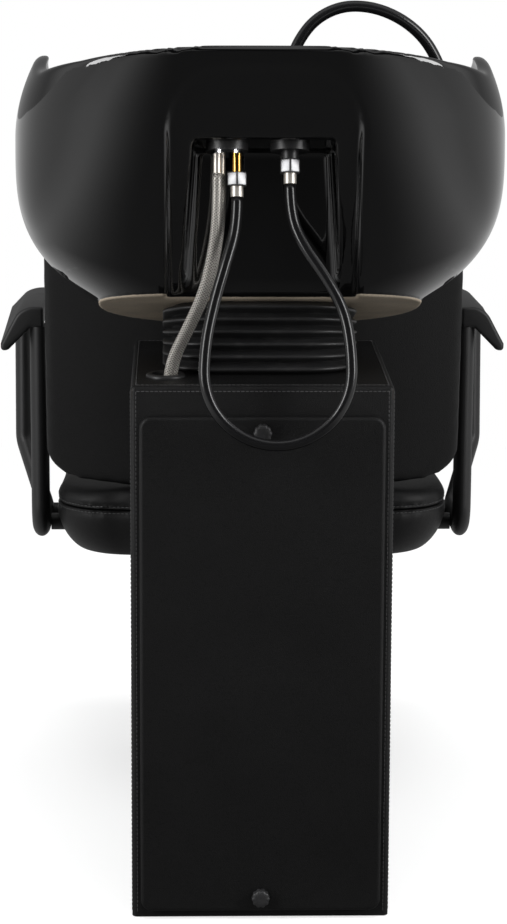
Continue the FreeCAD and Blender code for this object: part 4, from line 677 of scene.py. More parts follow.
@dataclass
class Pedestal:
    """Wrapped pedestal and plinth with stitched seams, and holes for the hardware on them."""

    half_width: float = 0.150
    half_depth: float = 0.167
    height: float = 0.635
    plinth_front: float = 0.545
    plinth_height: float = 0.308
    edge: float = 0.006
    cloth: float = 0.0011
    backing: float = 0.85
    opening_half: float = 0.108
    opening_low: float = 0.062
    opening_high: float = 0.532
    grommet: Point = (-0.111, -0.103, 0.635)
    grommet_bore: float = 0.0185
    waste_y: float = 0.043
    waste_r: float = 0.0465
    drill: float = 0.02
    joint: float = 0.0012
    lift: float = 0.0006
    seam_inset: float = 0.0052
    seam_low: float = 0.006

    def build(self) -> None:
        """Make the wraps, the seams and the rest."""
        wrap = self.wrap("pedestal_wrap", -self.half_depth, self.half_depth, self.height)
        tool = Bench.block("opening_tool", (-self.opening_half, -1.0, self.opening_low),
                           (self.opening_half, 0.0, self.opening_high))
        Bench.cut(wrap, tool)
        x, y, z = self.grommet
        for tool, place, radius in (("grommet_tool", (x, y), self.grommet_bore),
                                    ("waste_tool", (0.0, self.waste_y), self.waste_r)):
            base = Vector((*place, z - self.drill))
            Bench.cut(wrap, Bench.round(tool, base, UP, radius, 2 * self.drill))
        plinth = self.wrap("plinth_wrap", self.half_depth + self.joint, self.plinth_front, self.plinth_height)
        for cover in (wrap, plinth):
            Bench.soften(cover)
            dress(cover, VINYL, Body.BASE, Slot.VINYL)
        dress(self.seams(wrap, plinth), THREAD, Body.BASE, Slot.VINYL)

    def wrap(self, name: str, rear: float, front: float, top: float) -> Piece:
        """A thin sleeve of vinyl over the boards, open underneath."""
        grow = self.cloth
        low = (-self.half_width - grow, rear - grow, self.lift)
        high = (self.half_width + grow, front + grow, top + grow)
        sleeve = Bench.block(name, low, high)
        Bench.bevel(sleeve, lambda a, b: max(a.z, b.z) > 0.1, self.edge, 5)
        Bench.pick(sleeve, "FACE", lambda c, n: n.z < -0.9 and c.z < 0.01)
        bpy.ops.mesh.delete(type="FACE")
        bpy.ops.object.mode_set(mode="OBJECT")
        Bench.modify(sleeve, "SOLIDIFY", thickness=grow * self.backing, offset=-1.0)
        return sleeve

    def seams(self, wrap: Piece, plinth: Piece) -> Piece:
        """Topstitching inside the wrap's edges."""
        thread = Stitching()
        x, y, top = self.half_width - self.seam_inset, self.half_depth + self.cloth, self.height + self.cloth
        inner, flank = self.half_depth - self.seam_inset, self.half_width + self.cloth
        low, high, level = self.seam_low, top - self.edge, self.height - self.seam_inset
        front = self.plinth_front + self.cloth
        for side in (-1, 1):
            for face in (-1, 1):
                self.seam(thread, wrap, (side * x, face * y, low), (side * x, face * y, high))
                self.seam(thread, wrap, (side * flank, face * inner, low), (side * flank, face * inner, high))
            self.seam(thread, wrap, (side * x, -inner, top), (side * x, inner, top))
            self.seam(thread, wrap, (-x, side * inner, top), (x, side * inner, top))
            self.seam(thread, wrap, (-x, side * y, level), (x, side * y, level))
            self.seam(thread, plinth, (side * x, front, low), (side * x, front, self.plinth_height))
        return thread.build("pedestal_stitching")

    @staticmethod
    def seam(thread: Stitching, cover: Piece, start: Point, end: Point) -> None:
        """One straight row of stitches."""
        thread.row(cover, [Vector(start), Vector(end)])


@dataclass
class ThumbScrews:
    """Fluted, domed heads that hold the access panel."""

    face_y: float = -0.179
    radius: float = 0.011
    rise: float = 0.009
    heights: tuple[float, float] = (0.028, 0.584)
    flutes: int = 10
    flute_depth: float = 0.06
    core: float = 0.93
    gap: float = 0.0002
    trim: float = 0.0005
    edge: float = 0.0006
    overlap: float = 0.001
    shank_r: float = 0.003
    shank_h: float = 0.024
    dome: tuple[tuple[float, float], ...] = ((0.88, 0.0011), (0.72, 0.0007), (0.55, 0.0002), (0.45, -0.0003))

    def build(self) -> None:
        """Make both screws."""
        for height, body in zip(self.heights, (Body.LOWER_SCREW, Body.UPPER_SCREW)):
            self.one(body.value + "_head", height, body)

    def one(self, name: str, height: float, body: Body) -> None:
        """One screw: a ribbed barrel with a domed face and a shank."""
        back = Vector((0.0, -1.0, 0.0))
        base = Vector((0.0, self.face_y - self.gap, height))
        head = Bench.round(name, base, back, self.radius * self.core, self.rise - self.trim, self.flutes * 4)
        points = points_of(head)
        angle = np.arctan2(points[:, 2] - height, points[:, 0])
        swell = 1.0 + self.flute_depth * np.cos(self.flutes * angle)
        points[:, 0] *= swell
        points[:, 2] = height + (points[:, 2] - height) * swell
        set_points(head, points)
        Bench.pick(head, "FACE", lambda c, n: n.y < -0.9)
        for shrink, rise in self.dome:
            bpy.ops.mesh.extrude_region_move(TRANSFORM_OT_translate={"value": (0, -rise, 0)})
            bpy.ops.transform.resize(value=(shrink, 1.0, shrink), center_override=(0.0, self.face_y, height))
        bpy.ops.object.mode_set(mode="OBJECT")
        Bench.break_edges(head, self.edge, 2, 35)
        root = Vector((0.0, self.face_y - self.overlap, height))
        shank = Bench.round(name + "_shank", root, -back, self.shank_r, self.shank_h, 24)
        Bench.hold(head)
        shank.select_set(True)
        bpy.ops.object.join()
        Bench.soften(head, 35.0)
        dress(head, SCREW, body, Slot.SCREW, body.value)


@dataclass
class SoftCover:
    """A padded piece grown from its solid by a cloth simulation."""

    node: str
    name: str
    voxel: float = 0.0055
    shrink: float = 0.004
    cap: float = 0.014
    pressure: float = 4.0
    smooth: int = 5
    calm: int = 6
    stiffness: float = 18.0
    bending: float = 0.6
    frames: int = 20
    floor_z: float | None = None

    def build(self) -> Piece:
        """Copy the solid, blow it up and smooth it."""
        piece = Bench.copy_of(self.node, self.name)
        Bench.remesh(piece, self.voxel)
        Bench.smooth(piece, self.smooth)
        start = points_of(piece)
        set_points(piece, start - normals_of(piece) * self.shrink)
        if self.pressure > 0:
            self.swell(piece)
        Bench.smooth(piece, self.calm)
        Bench.modify(piece, "SUBSURF", levels=1, render_levels=1)
        self.fit(piece)
        return piece

    def fit(self, piece: Piece) -> None:
        """Stretch the cover to the solid's own size."""
        low, high = (np.array(corner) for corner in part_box(self.node))
        points = points_of(piece)
        start, end = points.min(axis=0), points.max(axis=0)
        set_points(piece, low + (points - start) * (high - low) / (end - start))

    def swell(self, piece: Piece) -> None:
        """Run the cloth, apply it, and hold back what travels too far."""
        start = points_of(piece)
        cloth = piece.modifiers.new("Cloth", "CLOTH")
        cloth.settings.use_pressure = True
        cloth.settings.uniform_pressure_force = self.pressure
        cloth.settings.effector_weights.gravity = 0.0
        cloth.settings.tension_stiffness = self.stiffness
        cloth.settings.compression_stiffness = self.stiffness
        cloth.settings.bending_stiffness = self.bending
        cloth.point_cache.frame_start = 1
        cloth.point_cache.frame_end = self.frames
        scene = bpy.context.scene
        for step in range(1, self.frames + 1):
            scene.frame_set(step)
        Bench.hold(piece)
        bpy.ops.object.modifier_apply(modifier=cloth.name)
        scene.frame_set(1)
        moved = points_of(piece) - start
        far = np.linalg.norm(moved, axis=1)
        hold = np.minimum(1.0, self.cap / np.maximum(far, 1e-9))
        points = start + moved * hold[:, None]
        if self.floor_z is not None:
            points[:, 2] = np.maximum(points[:, 2], self.floor_z)
        set_points(piece, points)


def loop_path(piece: Piece, height: float, count: int = 160) -> list[Vector]:
    """A closed line round a piece at a height, on its outside."""
    low = Vector(piece.bound_box[0])
    high = Vector(piece.bound_box[6])
    middle = (low + high) / 2
    path = []
    for k in range(count + 1):
        angle = 2 * math.pi * k / count
        aim = Vector((math.cos(angle), math.sin(angle), 0.0))
        start = Vector((middle.x, middle.y, height)) + aim * 2.0
        found, spot, _, _ = piece.ray_cast(start, -aim)
        if found:
            path.append(spot)
    return path


def outline_at(piece: Piece, height: float, middle: Array) -> Outline:
    """Angles and radii, about a middle, of a piece's outline at a height."""
    flat = np.array([spot[:2] for spot in loop_path(piece, height)]) - middle
    angle = np.arctan2(flat[:, 1], flat[:, 0])
    order = np.argsort(angle)
    return angle[order], np.linalg.norm(flat, axis=1)[order]


def around(angle: Array, line: Outline) -> Array:
    """An outline's radius at each angle."""
    return np.interp(angle, line[0], line[1], period=2 * math.pi)


@dataclass
class Seat:
    """Seat cushion on its pan, and the curved backrest, all wrapped in vinyl."""

    row_gap: float = 0.0042
    groove: float = 0.0012
    reach: float = 0.0035
    wall: float = 0.011
    nip: float = 0.0022
    nip_h: float = 0.0016
    layers: int = 6
    droop_by: float = 0.012
    droop_h: float = 0.07
    droop_half: float = 0.25

    def build(self) -> None:
        """Make the four covers and their seams."""
        thread = Stitching(pitch=0.0055, length=0.0044)
        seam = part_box("seat_cushion")[0].z
        pan = SoftCover("seat_pan", "seat_pan_cover", pressure=0.0, shrink=0.0, smooth=3).build()
        cushion = SoftCover("seat_cushion", "seat_cushion_cover", cap=0.006, pressure=2.5, shrink=0.003,
                            smooth=4, floor_z=seam + 0.0002).build()
        self.close_seam(cushion, pan, seam)
        for cover, side in ((cushion, 1), (pan, -1)):
            line = loop_path(cover, seam + side * self.row_gap)
            set_points(cover, bowed(points_of(cover), line, self.groove, self.reach, normals_of(cover)))
            thread.row(cover, loop_path(cover, seam + side * self.row_gap))
        board = SoftCover("back_board", "back_shell_cover", pressure=0.0, shrink=0.0, smooth=8,
                          voxel=0.0045).build()
        self.droop(board)
        pad = SoftCover("back_cushion", "back_cushion_cover", cap=0.014, shrink=0.006).build()
        for cover, node, fill in ((pan, "seat_pan", 0.9), (cushion, "seat_cushion", 0.75),
                                  (board, "back_board", 0.95), (pad, "back_cushion", 0.7)):
            Bench.soften(cover, 70.0)
            dress(cover, VINYL, Body.BASE, Slot.VINYL, node)
        dress(thread.build("seat_stitching"), THREAD, Body.BASE, Slot.VINYL)

    def close_seam(self, cushion: Piece, pan: Piece, seam: float) -> None:
        """Carry both walls straight on to the seam, where they meet in one narrow nip.

        Args:
            cushion: Cover above the seam.
            pan: Cover below the seam.
            seam: Height of the seam.
        """
        sides = ((cushion, 1), (pan, -1))
        low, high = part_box("seat_pan")
        middle = np.array(((low.x + high.x) / 2, (low.y + high.y) / 2))
        heights = np.linspace(0.1, 1.0, self.layers) * self.wall
        walls = [outline_at(cover, seam + side * self.wall, middle) for cover, side in sides]
        for (cover, side), wall in zip(sides, walls):
            points = points_of(cover)
            flat = points[:, :2] - middle
            angle = np.arctan2(flat[:, 1], flat[:, 0])
            away = np.clip((points[:, 2] - seam) * side, 0.0, self.wall)
            rows = np.array([around(angle, outline_at(cover, seam + side * h, middle)) for h in heights])
            place = np.interp(away, heights, np.arange(len(heights)))
            row = np.clip(place.astype(int), 0, len(heights) - 2)
            own = np.arange(len(points))
            here = rows[row, own] + (place - row) * (rows[row + 1, own] - rows[row, own])
            shared = np.mean([around(angle, line) for line in walls], axis=0)
            near = 1 - away / self.wall
            nip = self.nip * np.exp(-away / self.nip_h)
            wanted = around(angle, wall) * (1 - near) + shared * near - nip
            scale = np.where(away < self.wall, wanted / here, 1.0)
            points[:, :2] = middle + flat * scale[:, None]
            set_points(cover, points)

    def droop(self, board: Piece) -> None:
        """Let the shell's lower edge hang lower in the middle."""
        points = points_of(board)
        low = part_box("back_board")[0].z
        near = np.clip((low + self.droop_h - points[:, 2]) / self.droop_h, 0, 1)
        arc = np.clip(1 - (points[:, 0] / self.droop_half) ** 2, 0, 1)
        points[:, 2] -= self.droop_by * arc * ease(near)
        set_points(board, points)


@dataclass
class Arms:
    """Moulded arm pads on their loops: slanting hoods with a thin outer lip."""

    inner: float = 0.270
    width: float = 0.056
    lip: float = 0.009
    top: float = 0.058
    flat: float = 0.030
    hollow: float = 0.031
    length: float = 0.282
    bottom: float = 0.601
    rise: float = math.radians(2.5)
    rim: float = 0.0045
    shoulder_r: float = 0.016
    offset: float = 0.0025
    taper: float = 0.45
    brow: float = 0.3

    def build(self) -> None:
        """Make both pads; their loops are kept."""
        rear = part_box("arm_pad_right")[0].y
        for side, node in ((1, "arm_pad_right"), (-1, "arm_pad_left")):
            self.pad(side, node, rear)

    def outline(self) -> list[tuple[float, float]]:
        """Cross-section of a pad, from its inner underside round."""
        outer = self.inner + self.width
        return [(self.inner, self.hollow), (self.inner + self.brow * self.width, self.hollow),
                (outer - self.lip, 0.0), (outer, 0.0), (outer, self.lip),
                (self.inner + self.flat, self.top), (self.inner, self.top)]

    def pad(self, side: int, node: str, rear: float) -> None:
        """One pad: its section extruded along, with rolled edges and a full outer shoulder."""
        outline = self.outline()
        section = [(x, 0.0, z) for x, z in outline]
        pad = Bench.mesh(node + "_moulding", section, [tuple(range(len(outline)))])
        Bench.pick(pad, "FACE", lambda c, n: True)
        bpy.ops.mesh.extrude_region_move(TRANSFORM_OT_translate={"value": (0, self.length, 0)})
        bpy.ops.object.mode_set(mode="OBJECT")
        Bench.outward(pad)
        shoulder = self.inner + self.flat
        Bench.bevel(pad, lambda a, b: abs(a.y - b.y) > 0.1 and abs(a.x - shoulder) < 0.001 and a.z > 0.05,
                    self.shoulder_r, 6)
        Bench.break_edges(pad, self.rim, 5, 38)
        points = points_of(pad)
        points[:, 2] *= 1 - self.taper * points[:, 1] / self.length
        x, y, z = points.T
        c, s = math.cos(self.rise), math.sin(self.rise)
        turned = (x * side, rear + y * c - z * s + self.offset, self.bottom + y * s + z * c)
        set_points(pad, np.stack(turned, axis=1))
        Bench.outward(pad)
        Bench.soften(pad, 30.0)
        dress(pad, ARM, Body.BASE, Slot.ARM, node)


@dataclass
class BasinFrame:
    """The basin's own level frame, tilted about the hinge."""

    tilt: float = math.radians(15.5)
    hinge_y: float = 0.014
    hinge_z: float = 0.665

    def inside(self, points: Array) -> Array:
        """World points in metres to the basin's frame in millimetres."""
        dy, dz = points[:, 1] - self.hinge_y, points[:, 2] - self.hinge_z
        c, s = math.cos(self.tilt), math.sin(self.tilt)
        return np.stack([points[:, 0], dy * c - dz * s, dy * s + dz * c], axis=1) / MM

    def outside(self, points: Array) -> Array:
        """Points of the basin's frame in millimetres to world metres."""
        x, y, z = points.T * MM
        c, s = math.cos(self.tilt), math.sin(self.tilt)
        return np.stack([x, self.hinge_y + y * c + z * s, self.hinge_z - y * s + z * c], axis=1)

    def point(self, x: float, y: float, z: float) -> Vector:
        """One point of the basin's frame, in world metres."""
        return Vector(self.outside(np.array([[x, y, z]], float))[0])


LEVEL = BasinFrame()


def unit(vectors: Array) -> Array:
    """Vectors at a length of one."""
    return vectors / np.maximum(np.linalg.norm(vectors, axis=-1, keepdims=True), 1e-6)


def ease(share: Array) -> Array:
    """A share from 0 to 1, made to start and end gently."""
    return share * share * (3 - 2 * share)


def gradient(fun: Callable[[Array], Array], p: Array, reach: float) -> Array:
    """Slope of a field at points, measured over a reach to both sides."""
    steps = np.eye(3) * reach
    return np.stack([(fun(p + step) - fun(p - step)) / (2 * reach) for step in steps], axis=1)


def round_max(a: Array, b: Array, blend: float) -> Array:
    """The larger of two distances, rounded where they meet."""
    h = np.maximum(blend - np.abs(a - b), 0.0) / blend
    return np.maximum(a, b) + h * h * blend / 4


@dataclass(frozen=True)
class Rounding:
    """Radii, in millimetres, of the basin's rounded edges."""

    foot: float = 3.0
    floor: float = 8.0
    wall: float = 6.0
    rim: float = 8.0
    neck: float = 12.0
    boss: float = 16.0
    boss_sides: float = 30.0
    boss_top: float = 10.0
    arch: float = 8.0
    arch_back: float = 6.0
    alcove: float = 5.0
    alcove_sides: float = 14.0
    alcove_top: float = 7.0
    drain: float = 1.5
    sink: float = 1.0
    hole: float = 1.0


@dataclass
class Basin:
    """Ceramic basin: its surface is drawn onto rounded distance fields of the solid's own shape."""

    foot_z: float = 30.0
    foot_h: float = 4.0
    foot_half: float = 190.0
    belly_half: float = 287.0
    belly_z: float = 220.0
    mid_y: float = -60.0
    foot_rear: float = 90.0
    foot_front: float = 190.0
    rim_rear: float = 265.0
    rim_front: float = 285.0
    rear_rim_z: float = 277.0
    wing_z: float = 310.0
    rear_crown: float = 8.0
    crown_half: float = 205.0
    crown_run: float = 60.0
    front_rim_z: float = 285.0
    wing_start: float = -222.0
    wing_top: float = -140.0
    wing_end: float = 40.0
    loft_top: float = 330.0
    curl: float = 40.0
    wall: float = 15.0
    floor_z: float = 64.0
    floor_half: float = 185.0
    floor_rear: float = 80.0
    floor_front: float = 158.0
    neck_r: float = 86.0
    neck_z: float = 228.0
    neck_start: float = 35.0
    deck_z: float = 207.0
    deck_half: float = 123.0
    deck_y: float = -165.0
    lean: float = 60.0
    lean_cos: float = 0.94
    alcove_half: float = 80.0
    alcove_flare: float = 12.0
    alcove_y: float = -180.0
    arch_half: float = 108.0
    arch_top: float = 258.0
    arch_corner: float = 62.0
    arch_depth: float = 34.0
    arch_cos: float = 0.8
    drain_y: float = 30.0
    drain_r: float = 21.0
    sink_r: float = 36.5
    sink_z: float = 61.0
    hole_y: float = -222.0
    hole_drop: float = 7.0
    hole_reach: float = 16.0
    holes: tuple[tuple[float, float], ...] = ((-41.0, 19.4), (30.0, 10.4))
    voxel: float = 0.0045
    tight: float = math.cos(math.radians(11.0))
    stride: float = 3.0
    side_power: float = 3.5
    side_ease: float = 1.1
    bowl_power: float = 2.4
    bowl_fade: float = 4.0
    rear_power: float = 0.9
    front_oval: float = 2.25
    rear_oval: float = 2.9
    agree: float = 0.6
    calm: float = 1.2
    bare_share: float = 0.6
    bare_blur: float = 3.0
    edge: Rounding = Rounding()

    def rear_at(self, z: Any) -> Any:
        """How far the outside reaches to the rear at a height."""
        share = np.clip((z - self.foot_z) / (self.rear_rim_z - self.foot_z), 1e-4, 2)
        return self.foot_rear + (self.rim_rear - self.foot_rear) * share ** self.rear_power

    def front_at(self, z: Any) -> Any:
        """How far the outside reaches to the front at a height."""
        share = (z - self.foot_z) / (self.front_rim_z - self.foot_z)
        return self.foot_front + (self.rim_front - self.foot_front) * share ** 2

    def curled(self, z: Array) -> Array:
        """How far the sides curl in above the belly."""
        return self.curl * np.clip((z - self.belly_z) / (self.loft_top - self.belly_z), 0, 1) ** 2

    def outer(self, p: Array) -> Array:
        """Field of the outside."""
        z = np.clip(p[:, 2], self.foot_z, self.loft_top)
        base = self.foot_z + self.foot_h
        t = np.clip((z - base) / (self.belly_z - base), 1e-4, 1.0)
        full = (1 - (1 - t) ** self.side_power) ** self.side_ease
        half = self.foot_half + (self.belly_half - self.foot_half) * full
        return self.oval(p, half - self.curled(z), self.rear_at(z), self.front_at(z))

    def inner(self, p: Array) -> Array:
        """Field of the bowl's inside."""
        z = np.clip(p[:, 2], self.floor_z, self.loft_top)
        t = np.clip((z - self.floor_z) / (self.belly_z - self.floor_z), 1e-4, 1.0)
        top_half = self.belly_half - self.wall
        full = (1 - (1 - t) ** self.bowl_power) ** (1 / self.bowl_power)
        half = self.floor_half + (top_half - self.floor_half) * full
        fade = (1 - t) ** self.bowl_fade
        rear_step = self.rear_at(self.floor_z) - self.wall - self.floor_rear
        front_step = self.front_at(self.floor_z) - self.wall - self.floor_front
        return self.oval(p, half - self.curled(z), self.rear_at(z) - self.wall - rear_step * fade,
                         self.front_at(z) - self.wall - front_step * fade)

    def oval(self, p: Array, half: Array, rear: Array, front: Array) -> Array:
        """Squarish oval field, rounder at the front, in units of its own size."""
        dy = p[:, 1] - self.mid_y
        ahead = dy > 0
        power = np.where(ahead, self.front_oval, self.rear_oval)
        reach = np.where(ahead, front, rear)
        total = (np.abs(p[:, 0]) / half) ** power + (np.abs(dy) / reach) ** power
        return np.maximum(total, 1e-9) ** (1 / power) - 1

    def distance(self, fun: Callable[[Array], Array], p: Array) -> Array:
        """Turn a field into a distance in millimetres by its slope."""
        return fun(p) / np.maximum(np.linalg.norm(gradient(fun, p, 0.5), axis=1), 1e-5)

    def rim(self, x: Array, y: Array) -> Array:
        """Height of the rim, which crowns a little in the middle of the rear."""
        back = np.clip((self.wing_start + self.crown_run - y) / self.crown_run, 0, 1)
        crown = self.rear_crown * np.clip(1 - (x / self.crown_half) ** 2, 0, 1) * ease(back)
        t = np.clip((y - self.wing_start) / (self.wing_top - self.wing_start), 0, 1)
        step = self.rear_rim_z + (self.wing_z - self.rear_rim_z) * ease(t)
        front_y = self.mid_y + self.rim_front
        slope = (self.wing_z - self.front_rim_z) / (front_y - self.wing_end)
        return step + crown - slope * np.maximum(y - self.wing_end, 0)

    def alcove(self, p: Array) -> Array:
        """Distance to the service alcove."""
        x, y, z = np.abs(p[:, 0]), *p[:, 1:].T
        under = self.deck_z - self.wall
        down = (under - z) / (under - self.foot_z)
        sides = x - (self.alcove_half + self.alcove_flare * down)
        back = (y - (self.alcove_y + self.lean * down)) * self.lean_cos
        hollow = round_max(sides, back, self.edge.alcove_sides)
        return round_max(hollow, z - under, self.edge.alcove_top)

    def arch(self, p: Array) -> Array:
        """Distance to the arched recess round the alcove."""
        x, y, z = np.abs(p[:, 0]), *p[:, 1:].T
        top, corner = self.arch_top, self.arch_corner
        qx, qz = x - (self.arch_half - corner), z - (top - corner)
        prism = np.hypot(np.maximum(qx, 0), np.maximum(qz, 0)) + np.minimum(np.maximum(qx, qz), 0) - corner
        top_y = self.mid_y - self.rear_at(top)
        foot_y = self.mid_y - self.foot_rear + self.arch_depth
        plane = y - (top_y + (foot_y - top_y) * (top - z) / (top - self.foot_z))
        return round_max(prism, plane * self.arch_cos, self.edge.arch_back)

    def boss(self, p: Array) -> Array:
        """Distance to the deck's boss over the alcove, which stays solid."""
        x, y, z = p.T
        front = self.deck_y + self.lean * (self.deck_z - z) / (self.deck_z - self.foot_z)
        sides = round_max(np.abs(x) - self.deck_half, (y - front) * self.lean_cos, self.edge.boss_sides)
        return round_max(sides, z - self.deck_z, self.edge.boss_top)

    def solid(self, p: Array) -> Array:
        """Distance to the whole basin: its body, with one hollow after another taken out."""
        x, y, z = p.T
        edge = self.edge
        body = round_max(self.distance(self.outer, p), self.foot_z - z, edge.foot)
        bowl = round_max(self.distance(self.inner, p), self.floor_z - z, edge.floor)
        bowl = round_max(bowl, -self.boss(p), edge.boss)
        shape = round_max(body, -bowl, edge.wall)
        shape = round_max(shape, z - self.rim(x, y), edge.rim)
        neck = np.hypot(x, z - self.neck_z - self.neck_r) - self.neck_r
        drain = np.hypot(x, y - self.drain_y)
        hollows = [(np.maximum(neck, self.neck_start - y), edge.neck), (self.arch(p), edge.arch),
                   (self.alcove(p), edge.alcove), (drain - self.drain_r, edge.drain),
                   (np.maximum(drain - self.sink_r, self.sink_z - z), edge.sink)]
        deck = np.abs(z - self.deck_z + self.hole_drop) - self.hole_reach
        for hole_x, hole_r in self.holes:
            hole = np.hypot(x - hole_x, y - self.hole_y) - hole_r
            hollows.append((np.maximum(hole, deck), edge.hole))
        for hollow, rounding in hollows:
            shape = round_max(shape, -hollow, rounding)
        return shape

    def slope(self, p: Array, reach: float = 0.4) -> Array:
        """Slope of the basin's distance field."""
        return gradient(self.solid, p, reach)

    def refine(self, piece: Piece, p: Array) -> None:
        """Divide the faces that span a tight edge."""
        slope = unit(self.slope(p))
        mesh = piece.data
        flags = []
        for face in mesh.polygons:
            corner = slope[list(face.vertices)]
            middle = unit(corner.mean(axis=0))
            flags.append(bool((corner @ middle).min() < self.tight))
        Bench.pick(piece, "FACE", lambda c, n: False)
        bpy.ops.object.mode_set(mode="OBJECT")
        mesh.polygons.foreach_set("select", flags)
        bpy.ops.object.mode_set(mode="EDIT")
        bpy.ops.mesh.subdivide(number_cuts=1)
        bpy.ops.object.mode_set(mode="OBJECT")
        LOG.info("%d faces divided on the basin's edges", sum(flags))

    def polish(self, piece: Piece, p: Array) -> None:
        """Give the points the true surface's own normals, so that the gloss runs smoothly."""
        slope = unit(self.slope(p, self.calm))
        true = unit(LEVEL.outside(p + slope) - LEVEL.outside(p))
        rough = normals_of(piece)
        agree = ((true * rough).sum(axis=1) > self.agree)[:, None]
        piece.data.normals_split_custom_set_from_vertices(np.where(agree, true, rough).tolist())

    def settle(self, piece: Piece, rounds: int) -> Array:
        """Move a piece's points onto the basin's surface, and give them in the basin's frame."""
        p = LEVEL.inside(points_of(piece))
        for _ in range(rounds):
            value = self.solid(p)
            slope = self.slope(p)
            size = np.maximum((slope ** 2).sum(axis=1), 0.2)
            move = slope * (value / size)[:, None]
            length = np.linalg.norm(move, axis=1)
            p = p - move * np.minimum(1.0, self.stride / np.maximum(length, 1e-9))[:, None]
        set_points(piece, LEVEL.outside(p))
        return p

    def build(self) -> None:
        """Remesh the solid and settle its points, then mark the bare foot."""
        piece = Bench.copy_of("basin", "basin_ceramic")
        Bench.remesh(piece, self.voxel)
        Bench.smooth(piece, 4)
        self.settle(piece, 6)
        Bench.smooth(piece, 5)
        self.refine(piece, self.settle(piece, 4))
        p = self.settle(piece, 4)
        line = self.foot_z + self.bare_share * self.foot_h
        low = np.clip((line - p[:, 2]) / self.bare_blur + 0.5, 0, 1)
        mark = piece.data.attributes.new("bare", "FLOAT", "POINT")
        mark.data.foreach_set("value", low.astype(np.float32))
        Bench.hold(piece)
        bpy.ops.object.shade_smooth()
        self.polish(piece, p)
        dress(piece, GLAZE, Body.BASIN, Slot.CERAMIC, "basin")


@dataclass
class Bellows:
    """Pleated rubber sleeve that fans from the pedestal's top to the tilted foot."""

    half_x: float = 0.116
    half_y: float = 0.112
    corner: float = 0.062
    pleats: int = 6
    depth: float = 0.013
    wall: float = 0.0022
    steps: int = 10
    around: int = 96
    low_z: float = 0.6353
    top_z: float = 29.7
    skin: float = 0.0012
    pinch: float = 1.35

    def ring(self, share: float, inset: float, fan: Vector) -> Array:
        """One ring of the fan, drawn in by an inset."""
        corner = self.corner - inset
        hx, hy = self.half_x - inset - corner, self.half_y - inset - corner
        per_side = self.around // 8
        quarters = ((1, 1), (-1, 1), (-1, -1), (1, -1))
        flat: list[tuple[float, float]] = []
        for k, (sx, sy) in enumerate(quarters):
            for j in range(per_side):
                angle = math.pi / 2 * (k + j / (per_side - 1))
                flat.append((sx * hx + corner * math.cos(angle), sy * hy + corner * math.sin(angle)))
            nx, ny = quarters[(k + 1) % 4]
            start = np.array(flat[-1])
            angle = math.pi / 2 * (k + 1)
            end = np.array([nx * hx + corner * math.cos(angle), ny * hy + corner * math.sin(angle)])
            for j in range(1, per_side + 1):
                flat.append(tuple(start + (end - start) * j / (per_side + 1)))
        x, y = np.array(flat).T
        turn = -LEVEL.tilt * share
        reach = LEVEL.hinge_y - fan.y + y
        return np.stack([x, fan.y + reach * math.cos(turn), fan.z + reach * math.sin(turn)], axis=1)

    def build(self) -> None:
        """Sweep the rounded pleats and let them bend with the tilt."""
        foot = LEVEL.point(0, 0, self.top_z)
        fan = Vector((0, foot.y + (foot.z - self.low_z) / math.tan(LEVEL.tilt), self.low_z))
        rows = []
        total = self.pleats * self.steps
        for k in range(total + 1):
            share = k / total
            wave = 0.5 + 0.5 * math.cos(2 * math.pi * self.pleats * share)
            rows.append(self.ring(share, self.skin + self.depth * wave ** self.pinch, fan))
        sleeve = Bench.skin("bellows_sleeve", np.array(rows))
        Bench.outward(sleeve)
        Bench.modify(sleeve, "SOLIDIFY", thickness=self.wall, offset=-1.0)
        Bench.soften(sleeve, 60.0)
        sleeve.data.materials.append(RUBBER.material())
        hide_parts("rubber_bellows")
        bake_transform(sleeve)
        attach(sleeve, Body.BASE.value)
        LOG.info("%s bends between base and basin", sleeve.name)


@dataclass(frozen=True)
class Bend:
    """Two bodies that a hose bends between, and the stretch where it does."""

    first: Body
    second: Body
    start: Point
    end: Point


class Hose:
    """A hose along a smooth line."""

    def __init__(self, name: str, route: Sequence[Point], radius: float, finish: Finish) -> None:
        """Lay the line through the route's control points.

        Args:
            name: The piece's name.
            route: Control points in millimetres.
            radius: The hose's radius in metres.
            finish: Its surface.
        """
        curve = bpy.data.curves.new(name, "CURVE")
        curve.dimensions = "3D"
        line = curve.splines.new("NURBS")
        line.points.add(len(route) - 1)
        for spot, place in zip(line.points, route):
            spot.co = (place[0] * MM, place[1] * MM, place[2] * MM, 1.0)
        line.order_u = 3
        line.use_endpoint_u = True
        line.resolution_u = 10
        curve.bevel_resolution = 6
        curve.use_fill_caps = True
        curve.materials.append(finish.material())
        self.radius = radius
        self.piece = Bench.add(name, curve)
        self.path = self.centreline()
        curve.bevel_depth = radius
        Bench.hold(self.piece)
        bpy.ops.object.convert(target="MESH")
        Bench.merge(self.piece, 0.00001, False)

    def centreline(self) -> list[Vector]:
        """Points of the smooth line itself."""
        bpy.context.view_layer.update()
        graph = bpy.context.evaluated_depsgraph_get()
        line = bpy.data.meshes.new_from_object(self.piece.evaluated_get(graph))
        spots = [v.co.copy() for v in line.vertices]
        bpy.data.meshes.remove(line)
        return spots

    def run(self) -> float:
        """Length of the line."""
        return sum((b - a).length for a, b in zip(self.path, self.path[1:]))


